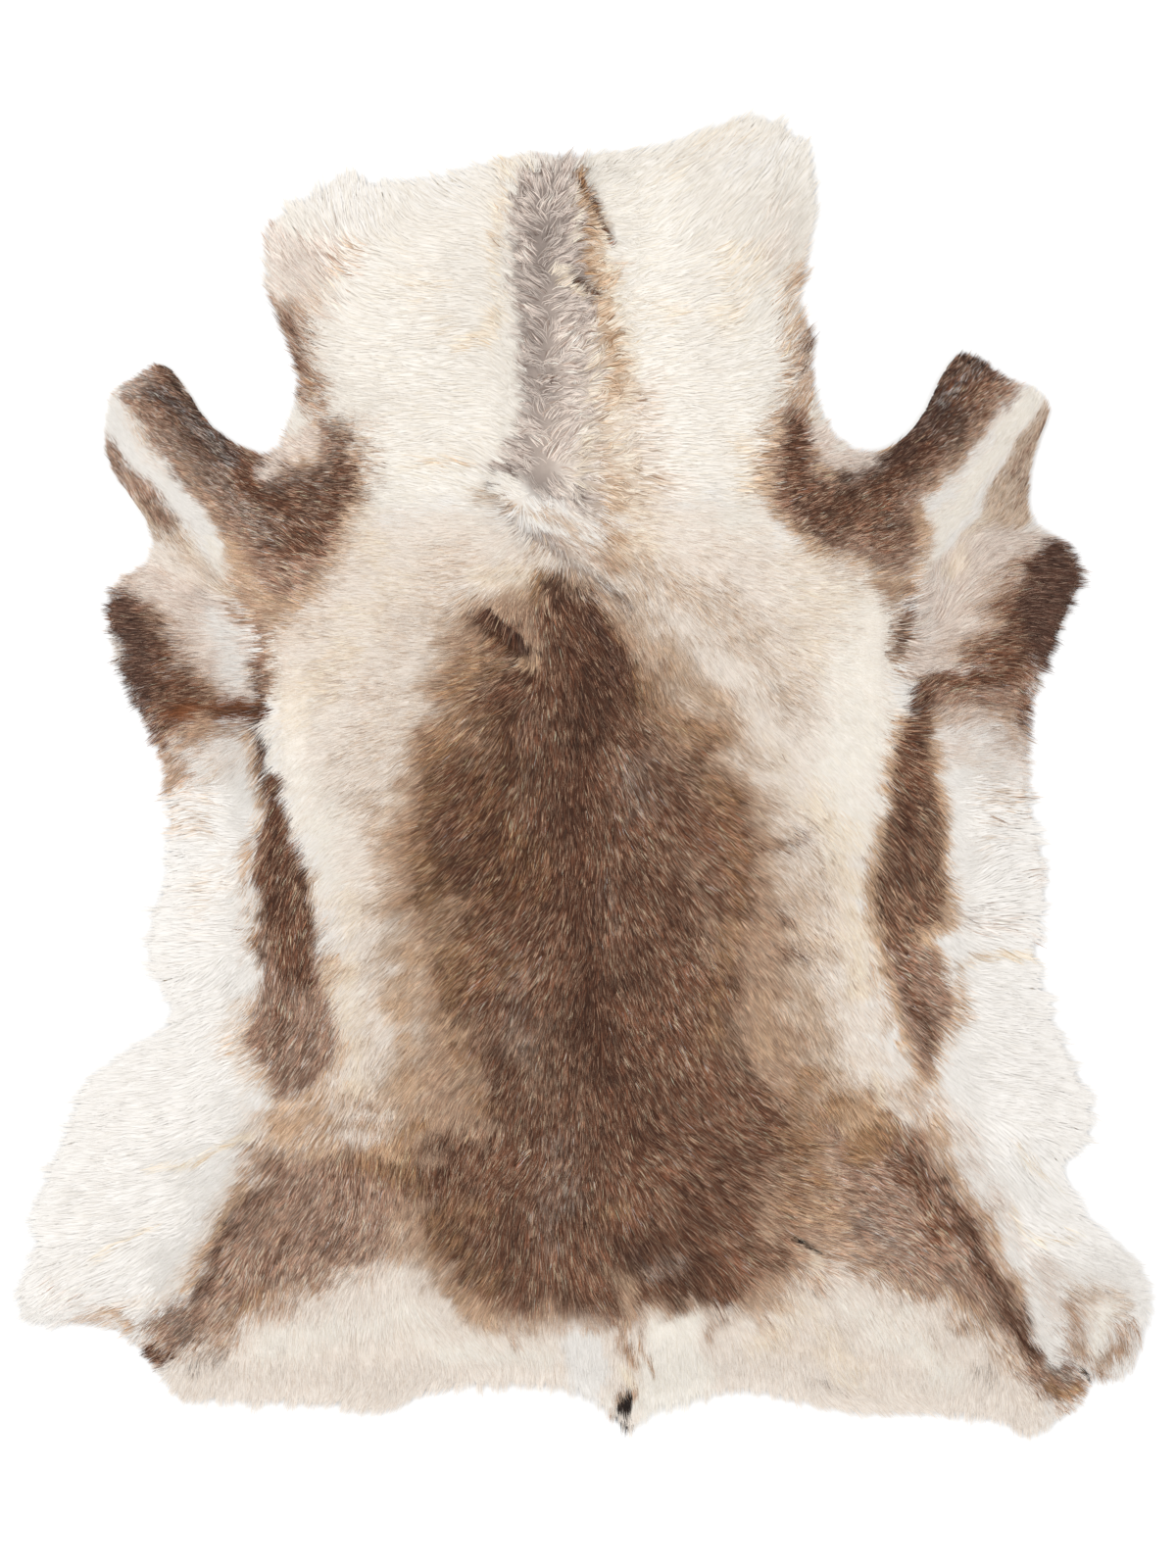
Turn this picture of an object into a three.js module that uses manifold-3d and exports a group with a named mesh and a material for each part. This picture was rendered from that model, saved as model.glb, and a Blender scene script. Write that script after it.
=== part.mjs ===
// A tanned reindeer hide with its hair on, laid out flat with the hair side up.
//
// Millimetres, +Z up. The origin is on the surface that the hide lies on, under the middle of its
// outline. +Y runs from the tail to the neck and +X to the side that is on the right when the neck
// points away. The hide is one piece: one closed solid from the flat skin side at Z 0 up to the
// tips of the hair, out to where the hair at its edges ends.
import * as THREE from "three";
import { mergeVertices } from "three/addons/utils/BufferGeometryUtils.js";
import Module from "manifold-3d";

const RIM_STEP = 16; // between the rim's points
const GRID_STEP = 17; // between the points of the hair's upper surface
const RIM_DEPTH = 5; // height of the hair where it ends
const SHOULDER = 46; // from the rim in to where the hair has its full depth
const ROUNDING = 2.4; // how full the hair's shoulder is
const MOST_DEPTH = 60; // above any hair
const BLUR = 45; // over which one pile depth turns into the next

// The outline, clockwise from the left of the neck's cut end, as named stretches of [x, y].
const OUTLINE = {
  neckCut: [[-289, 526], [-257, 546], [-227, 568], [-195, 558], [-145, 565], [-55, 588],
    [-5, 586], [90, 600], [161, 623], [195, 609], [212, 588]],
  neckRight: [[216, 554], [211, 510], [201, 468], [201, 434], [218, 415], [213, 388], [220, 354],
    [241, 318]],
  forelegRight: [[269, 307], [297, 318], [319, 343], [343, 390], [357, 402], [377, 395],
    [401, 377], [421, 371], [443, 346], [428, 306], [423, 242]],
  elbowRight: [[439, 229], [455, 223], [474, 188], [463, 164], [445, 120], [424, 78]],
  bellyRight: [[416, 10], [429, -62], [435, -107], [425, -168], [445, -240], [474, -302],
    [477, -340], [457, -360]],
  haunchRight: [[447, -374], [469, -410], [520, -462], [533, -488], [529, -527], [519, -558],
    [497, -567], [476, -563], [478, -579], [461, -600], [419, -623], [399, -608]],
  rumpRight: [[350, -600], [255, -599], [200, -587], [145, -576], [89, -590], [65, -594]],
  tail: [[43, -617], [21, -592]],
  rumpLeft: [[-5, -577], [-95, -572], [-145, -578], [-192, -597], [-235, -590], [-325, -587],
    [-381, -587], [-395, -571], [-415, -543]],
  haunchLeft: [[-436, -525], [-467, -511], [-503, -516], [-527, -504], [-533, -482],
    [-515, -452], [-515, -414], [-485, -334], [-463, -288], [-435, -264], [-399, -245]],
  bellyLeft: [[-388, -218], [-407, -182], [-407, -148], [-395, -102], [-389, -30], [-403, 36]],
  elbowLeft: [[-433, 90], [-450, 146], [-445, 172], [-429, 191], [-409, 201]],
  forelegLeft: [[-406, 222], [-450, 300], [-451, 342], [-442, 368], [-421, 379], [-398, 395],
    [-383, 382], [-346, 330], [-315, 311], [-289, 305]],
  neckLeft: [[-279, 330], [-268, 360], [-271, 396], [-291, 446], [-296, 490]],
};

// Depth of skin and hair on each part of the hide, and where the middle of that part is.
const PILE = [
  { part: "neck left", x: -185, y: 448, depth: 30 },
  { part: "nape", x: -35, y: 448, depth: 20 },
  { part: "neck right", x: 115, y: 478, depth: 31 },
  { part: "neck root", x: 105, y: 298, depth: 30 },
  { part: "shoulder left", x: -195, y: 248, depth: 26 },
  { part: "shoulder right", x: 215, y: 258, depth: 26 },
  { part: "foreleg left", x: -385, y: 318, depth: 11 },
  { part: "foreleg right", x: 375, y: 318, depth: 11 },
  { part: "elbow left", x: -380, y: 118, depth: 21 },
  { part: "elbow right", x: 395, y: 148, depth: 21 },
  { part: "ribs left", x: -205, y: 58, depth: 31 },
  { part: "ribs right", x: 215, y: 78, depth: 31 },
  { part: "withers", x: 5, y: 98, depth: 29 },
  { part: "back", x: 5, y: -122, depth: 27 },
  { part: "loin", x: 25, y: -332, depth: 26 },
  { part: "belly left", x: -360, y: -92, depth: 23 },
  { part: "belly right", x: 390, y: -62, depth: 23 },
  { part: "flank left", x: -225, y: -232, depth: 28 },
  { part: "flank right", x: 245, y: -202, depth: 28 },
  { part: "groin left", x: -425, y: -372, depth: 26 },
  { part: "groin right", x: 415, y: -302, depth: 25 },
  { part: "thigh left", x: -295, y: -432, depth: 25 },
  { part: "thigh right", x: 325, y: -432, depth: 25 },
  { part: "hock right", x: 490, y: -522, depth: 22 },
  { part: "rump left", x: -145, y: -542, depth: 22 },
  { part: "rump right", x: 205, y: -542, depth: 22 },
  { part: "tail", x: 43, y: -552, depth: 30 },
];

// Creases (rise below 0) and ridges (rise above 0) of the hair's upper surface. reach is how far
// to each side of its path a fold is felt.
const FOLDS = [
  { fold: "nape parting", rise: -6, reach: 20, path: [[-35, 558], [-33, 378], [-55, 293]] },
  { fold: "nape lip", rise: 7, reach: 19, path: [[-1, 568], [17, 518], [5, 478]] },
  { fold: "nape pit", rise: -9, reach: 19, path: [[19, 538], [29, 498], [5, 462]] },
  { fold: "neck fold", rise: -13, reach: 19, path: [[-95, 288], [-81, 264], [-35, 222], [27, 176]] },
  { fold: "neck fold roll", rise: 7, reach: 24, path: [[-65, 286], [-15, 244], [45, 198]] },
  { fold: "withers crease", rise: -14, reach: 19, path: [[-99, 154], [-49, 116]] },
  { fold: "withers roll", rise: 6, reach: 22, path: [[-95, 182], [-35, 138]] },
  { fold: "shoulder hollow", rise: -6, reach: 26, path: [[13, 158], [35, 68]] },
  { fold: "back parting", rise: -4, reach: 22, path: [[5, 38], [5, -462]] },
  { fold: "ribs edge left", rise: -14, reach: 20,
    path: [[-345, 176], [-313, 132], [-307, 60], [-301, -28]] },
  { fold: "ribs roll left", rise: 5, reach: 24, path: [[-279, 128], [-267, 18], [-245, -82]] },
  { fold: "elbow crease left", rise: -12, reach: 20, path: [[-379, 62], [-309, 60]] },
  { fold: "belly crease left", rise: -7, reach: 19, path: [[-387, -64], [-311, -52]] },
  { fold: "groin crease left", rise: -6, reach: 20, path: [[-393, -208], [-325, -198]] },
  { fold: "thigh edge left", rise: -11, reach: 20, path: [[-301, -342], [-345, -412], [-391, -492]] },
  { fold: "groin fold left", rise: -6, reach: 19, path: [[-481, -472], [-415, -416]] },
  { fold: "groin pleat left", rise: -6, reach: 19, path: [[-415, -376], [-335, -352]] },
  { fold: "ribs edge right", rise: -14, reach: 20,
    path: [[327, 176], [307, 134], [303, 82], [311, 38]] },
  { fold: "ribs roll right", rise: 5, reach: 24, path: [[273, 138], [267, 18], [255, -82]] },
  { fold: "elbow crease right", rise: -10, reach: 20, path: [[311, 102], [361, 90], [409, 96]] },
  { fold: "belly crease right", rise: -10, reach: 19, path: [[355, -162], [425, -168]] },
  { fold: "thigh edge right", rise: -11, reach: 20,
    path: [[333, -332], [379, -406], [429, -508], [471, -564]] },
  { fold: "hock crease right", rise: -7, reach: 19, path: [[421, -422], [449, -436], [489, -434]] },
  { fold: "tail root", rise: 6, reach: 22, path: [[39, -442], [41, -522], [43, -592]] },
];

const COLOUR = 0xb7a593; // the mean of the brown, cream and white hair
const ROUGHNESS = 0.9;

const wasm = await Module();
wasm.setup();

// A closed three.js geometry as a manifold-3d solid.
function solidOf(geometry) {
  const bare = geometry.clone();
  bare.deleteAttribute("normal");
  bare.deleteAttribute("uv");
  const merged = mergeVertices(bare, 1e-3);
  return new wasm.Manifold(new wasm.Mesh({
    numProp: 3,
    vertProperties: new Float32Array(merged.attributes.position.array),
    triVerts: new Uint32Array(merged.index.array),
  }));
}

// A manifold-3d solid as a three.js geometry.
function geometryOf(solid) {
  const mesh = solid.getMesh();
  return new THREE.BufferGeometry()
    .setAttribute("position", new THREE.BufferAttribute(mesh.vertProperties, 3))
    .setIndex(new THREE.BufferAttribute(mesh.triVerts, 1));
}

// The outline as evenly spaced points of one smooth closed curve through its stretches.
function rimPoints() {
  const given = Object.values(OUTLINE).flat().map(([x, y]) => new THREE.Vector3(x, y, 0));
  const curve = new THREE.CatmullRomCurve3(given, true, "centripetal");
  curve.arcLengthDivisions = 2000;
  const count = Math.round(curve.getLength() / RIM_STEP);
  return curve.getSpacedPoints(count).slice(0, count).map((p) => [p.x, p.y]);
}

function toSegment(x, y, [ax, ay], [bx, by]) {
  const along = ((x - ax) * (bx - ax) + (y - ay) * (by - ay)) / ((bx - ax) ** 2 + (by - ay) ** 2);
  const t = THREE.MathUtils.clamp(along, 0, 1);
  return Math.hypot(x - ax - t * (bx - ax), y - ay - t * (by - ay));
}

function toPath(x, y, path) {
  return Math.min(...path.slice(1).map((end, i) => toSegment(x, y, path[i], end)));
}

// How far a point lies inside the closed rim, or 0 if it lies outside.
function insideBy(x, y, rim) {
  let inside = false;
  let nearest = Infinity;
  rim.forEach((a, i) => {
    const b = rim[(i + 1) % rim.length];
    const crosses = a[1] > y !== b[1] > y;
    if (crosses && x < a[0] + ((y - a[1]) * (b[0] - a[0])) / (b[1] - a[1])) inside = !inside;
    nearest = Math.min(nearest, toSegment(x, y, a, b));
  });
  return inside ? nearest : 0;
}

// The pile depth at a point, each part's depth weighing less the further away that part is.
function pileAt(x, y) {
  let sum = 0;
  let weights = 0;
  for (const part of PILE) {
    const away = (x - part.x) ** 2 + (y - part.y) ** 2;
    const weight = 1 / (away + BLUR ** 2) ** 2;
    sum += weight * part.depth;
    weights += weight;
  }
  return sum / weights;
}

// The height of the hair's upper surface.
function heightAt(x, y, rim) {
  let depth = pileAt(x, y);
  for (const fold of FOLDS) {
    depth += fold.rise * Math.exp(-((toPath(x, y, fold.path) / fold.reach) ** 2));
  }
  const inward = Math.min(1, insideBy(x, y, rim) / SHOULDER);
  const fullness = 1 - (1 - inward) ** ROUNDING;
  return RIM_DEPTH + Math.max(0, depth - RIM_DEPTH) * fullness;
}

// Splits each cell of a block's faces along its more level diagonal, so that creases run unbroken.
function followCreases(block) {
  const place = block.attributes.position;
  const corners = block.index.array;
  const slope = (i, j) => Math.abs(place.getZ(i) - place.getZ(j));
  for (let i = 0; i < corners.length; i += 6) {
    const [a, b, d, , c] = corners.slice(i, i + 5);
    if (slope(a, c) < slope(b, d)) corners.set([a, b, c, a, c, d], i);
  }
}

// A block under the hair's upper surface, wider than the hide on every side.
function underHair(rim) {
  const xs = rim.map((p) => p[0]);
  const ys = rim.map((p) => p[1]);
  const [west, east] = [Math.min(...xs) - GRID_STEP, Math.max(...xs) + GRID_STEP];
  const [south, north] = [Math.min(...ys) - GRID_STEP, Math.max(...ys) + GRID_STEP];
  const columns = Math.round((east - west) / GRID_STEP);
  const rows = Math.round((north - south) / GRID_STEP);
  const block = new THREE.BoxGeometry(east - west, north - south, MOST_DEPTH, columns, rows, 1);
  block.translate((west + east) / 2, (south + north) / 2, 0);
  const place = block.attributes.position;
  for (let i = 0; i < place.count; i++) {
    if (place.getZ(i) > 0) place.setZ(i, heightAt(place.getX(i), place.getY(i), rim));
  }
  followCreases(block);
  return solidOf(block);
}

// The hide: everything inside the outline from the surface up to the hair's upper surface.
function hide() {
  const rim = rimPoints();
  const shape = new THREE.Shape(rim.map(([x, y]) => new THREE.Vector2(x, y)));
  const prism = new THREE.ExtrudeGeometry(shape, { depth: MOST_DEPTH, bevelEnabled: false });
  const solid = solidOf(prism).intersect(underHair(rim));
  const material = new THREE.MeshStandardMaterial({
    color: COLOUR,
    roughness: ROUGHNESS,
    metalness: 0,
  });
  const mesh = new THREE.Mesh(geometryOf(solid), material);
  mesh.name = "hide";
  return mesh;
}

const group = new THREE.Group();
group.add(hide());

export default group;
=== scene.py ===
"""A tanned reindeer hide laid flat, hair side up, under soft light and seen from straight above.

The frame is the CAD's: metres, +Y to the neck, +X to the right, the floor at Z 0. The charts
below are in millimetres in that frame. The hide is built as it grows: a thin skin, a layer of
woolly underfur on it, and the hair, whose strands follow a combed direction field, lie in locks
and take their colours from a chart of coats.
"""

import math

import bpy
import numpy as np
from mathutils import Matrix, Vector
from mathutils.bvhtree import BVHTree
from mathutils.geometry import tessellate_polygon


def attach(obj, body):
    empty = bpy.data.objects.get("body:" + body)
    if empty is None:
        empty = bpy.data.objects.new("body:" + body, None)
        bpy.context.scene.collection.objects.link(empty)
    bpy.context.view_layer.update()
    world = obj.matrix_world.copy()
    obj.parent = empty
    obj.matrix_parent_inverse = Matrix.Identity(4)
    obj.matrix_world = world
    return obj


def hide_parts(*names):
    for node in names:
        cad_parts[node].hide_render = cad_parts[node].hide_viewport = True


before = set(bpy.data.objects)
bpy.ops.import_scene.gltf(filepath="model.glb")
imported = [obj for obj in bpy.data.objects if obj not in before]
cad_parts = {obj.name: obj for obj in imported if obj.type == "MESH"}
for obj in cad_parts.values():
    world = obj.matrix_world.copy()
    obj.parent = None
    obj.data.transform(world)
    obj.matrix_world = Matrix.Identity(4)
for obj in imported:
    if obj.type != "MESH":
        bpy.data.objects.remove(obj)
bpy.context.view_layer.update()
rng = np.random.default_rng(31)
MM = 0.001

# The fields and the layers of the hide, in mm.
GRID = 4.0  # between the points of the fields
FIELD_REACH = (600, 690)  # of the fields from the middle, across and along
HAIR_REACH = (560, 660)  # of the roots and the underfur, likewise
RAY_START = 0.2  # m above the floor, over the whole hide
SKIN_INSET = 4.0  # from the rim in to the skin's edge
SKIN_KEPT = 0.85  # of that inset that each point of its edge has to every side
SKIN_THICKNESS = 2.0
SKIN_WANDER = 0.8  # that its cut edge strays, at most
SHELL_STEP = 8.0  # between the points of the underfur
SHELL_INSET = 3.5  # from the rim in to its edge
SHELL_EDGE = 0.6  # of the skin's thickness, the height of its edge
SHELL_ROUGH = (0.4, 9, 41)  # the ripple of its top: strength, size and seed
SHELL_DEPTH = (0.16, 2.4)  # of it below the top: a share of the height, at most mm
SHELL_TINT = (0.6, 0.4)  # of a hair's root colour and of its tip colour
SHELL_LIGHT = (0.72, 0.24)  # of its light: on dark hair, and what light hair adds
ROOT_INSET = 2.5  # from the rim in to the outermost roots
ROOT_DEPTH = (0.22, 3.4)  # of the start of the shown part of a hair, as SHELL_DEPTH
LOWEST_HAIR = 0.6  # above the floor

# The locks and the hairs in them.
LOCKS_ACROSS = 400  # in the table of locks, which repeats beyond it
LOCKS = LOCKS_ACROSS**2
LOCK_STRAY = 0.42  # of its cell that a lock's centre strays, at most
LOCK_TURN = 0.10  # radians, the spread of the headings of locks
LOCK_SIZE = (0.85, 1.12)  # of the charted length
LOCK_LIFT = 0.5  # mm, the spread of the heights of their tips
HAIR_TURN = 0.15  # radians, the spread of the headings of hairs in a lock
HAIR_SIZE = (0.8, 1.15)  # of its lock's length
HAIR_LIFT = (-1.4, 0.6)  # mm at its tip
HAIR_WIDTH = (0.7, 1.25)  # of its piece's width
HAIR_TAPER = 0.55  # of its width that is left at its last bend
PULL_POWER = 1.2  # how late along it a hair is drawn to its lock
PULLED_APART = 0.3  # of its distance to the lock's centre that it keeps
RISE_POWER = 0.8  # how early along it a hair comes out of the pile
TIP_LEVEL = 0.98  # of the height of the coat, where a tip is
FULL_LIFT = 16.0  # mm of coat in which tips lift fully
LEAST_LIFT = 0.2  # of that lift in a thin coat
LIGHT_CALM = 0.8  # of its lift that light hair loses

# The rim, where hair hangs over the skin's edge.
OVERHANG = 26.0  # mm that the longest hair reaches past the rim
WISP_SHARES = (0.45, 0.55)  # of that reach: by the hair's own draw and by its lock's
WISP_POWER = 2.6  # how rare long wisps are
SHORTEST = 0.12  # of its length that a hair keeps there
RIM_HEIGHT = 4.5  # of the hair at the rim, mm
RIM_SLOPE = 0.38  # of the hair's rise from there inwards, at most
RIM_FALL = 18.0  # mm past the rim in which its height falls off
RIM_SEEN = 4.0  # mm inside it from where a hair shows its own place's coat
RIM_SHADE = 0.06  # of its light that light hair loses at the rim
RIM_SHADED = 16.0  # mm inside it in which that falls off
# Where the hair thins out before the rim: the middle, the radius and how far.
RIM_THIN = [(-446, 130, 60, 9), (464, 150, 60, 12)]
SOFTENINGS = 6  # of the top of the coat

# The colours of the hairs.
SEEN_AT = 0.6  # how far along a hair is the part of it that shows
LIKE_LOCK = 0.25  # of the hairs, those that take their lock's side where two coats mix
HAIR_BY_HAIR = (0.7, 0.3)  # of a mix of coats: hair by hair, and blended
TURN = 0.618  # from one coat to the next, so that their mixes are unlike
SHADE_SPREAD = (0.45, 1.1)  # of the light of locks and of hairs
SHADE_PATCHES = [(0.6, 46, 21), (0.3, 17, 22)]  # ripples: strength, size and seed
TIP_COLOUR = (0.1, 0.85)  # where it starts before the root, and along how much it comes in
DARKEST = 0.004
LIGHTEST = 0.94
# From which mean colour on hair counts as light, and over what span.
LIGHT_TIP = (0.25, 0.4)
LIGHT_RIM = (0.3, 0.4)
LIGHT_SHELL = (0.15, 0.45)

# How the chart's edges wander, as ripples of strength, size and seed. A band has how flat it is
# after its strength.
WANDER_X = [(5, 28, 11), (2.5, 9, 12)]
WANDER_Y = [(5, 28, 13), (2.5, 9, 14)]
BANDS = [(1, 2.2, 44, 15), (0.6, 1.6, 17, 16)]
BANDING = 0.26  # of its width that a soft edge wanders with the bands
BANDED_FROM = 40  # mm, the softness of an edge that does so fully
# How pieces of hair mix where they meet, likewise.
MIX_X = [(1, 2.1, 51), (0.6, 34, 52)]
MIX_Y = [(1, 2.1, 53), (0.6, 34, 54)]

# How far a row of the comb and of the lengths reaches, mm, and how fast it fades.
COMB_REACH = 14
LENGTH_REACH = 30
REACH_POWER = 3

# Coats: sRGB at the root and at the tip of a hair, of the odd hairs among them, the share of odd
# hairs, and how far the hairs differ in brightness.
COATS = {
    "white": ((230, 226, 220), (240, 236, 231), (233, 228, 221), 0.15, 0.012),
    "ivory": ((226, 219, 209), (237, 231, 222), (229, 221, 209), 0.2, 0.012),
    "cream": ((234, 227, 216), (243, 238, 230), (236, 228, 214), 0.2, 0.015),
    "pearl": ((204, 184, 170), (235, 222, 211), (176, 150, 133), 0.2, 0.12),
    "oat": ((223, 211, 199), (243, 234, 224), (217, 201, 185), 0.2, 0.04),
    "sand": ((222, 204, 181), (243, 231, 213), (213, 191, 163), 0.2, 0.05),
    "tan": ((172, 134, 101), (217, 187, 157), (146, 110, 80), 0.2, 0.16),
    "dust": ((172, 144, 120), (220, 199, 177), (150, 118, 94), 0.2, 0.12),
    "fawn": ((128, 94, 71), (190, 157, 131), (216, 192, 167), 0.2, 0.22),
    "gold": ((106, 72, 46), (170, 130, 94), (202, 170, 134), 0.2, 0.28),
    "rust": ((84, 43, 23), (132, 81, 50), (154, 104, 70), 0.15, 0.22),
    "roan": ((94, 66, 51), (165, 130, 109), (212, 188, 167), 0.22, 0.36),
    "ash": ((92, 73, 62), (160, 139, 124), (208, 192, 178), 0.25, 0.36),
    "brown": ((57, 31, 20), (114, 75, 55), (194, 160, 133), 0.22, 0.44),
    "bistre": ((54, 29, 15), (106, 69, 44), (188, 150, 112), 0.2, 0.42),
    "umber": ((46, 25, 16), (94, 60, 43), (166, 133, 109), 0.16, 0.4),
    "sable": ((42, 26, 19), (88, 60, 48), (160, 130, 112), 0.16, 0.4),
    "grizzle": ((40, 30, 26), (94, 80, 73), (204, 194, 187), 0.28, 0.42),
    "taupe": ((106, 90, 82), (212, 198, 188), (150, 131, 120), 0.2, 0.16),
    "black": ((22, 16, 14), (42, 32, 27), (70, 52, 42), 0.1, 0.1),
}
GROUND_COAT = "white"

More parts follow.
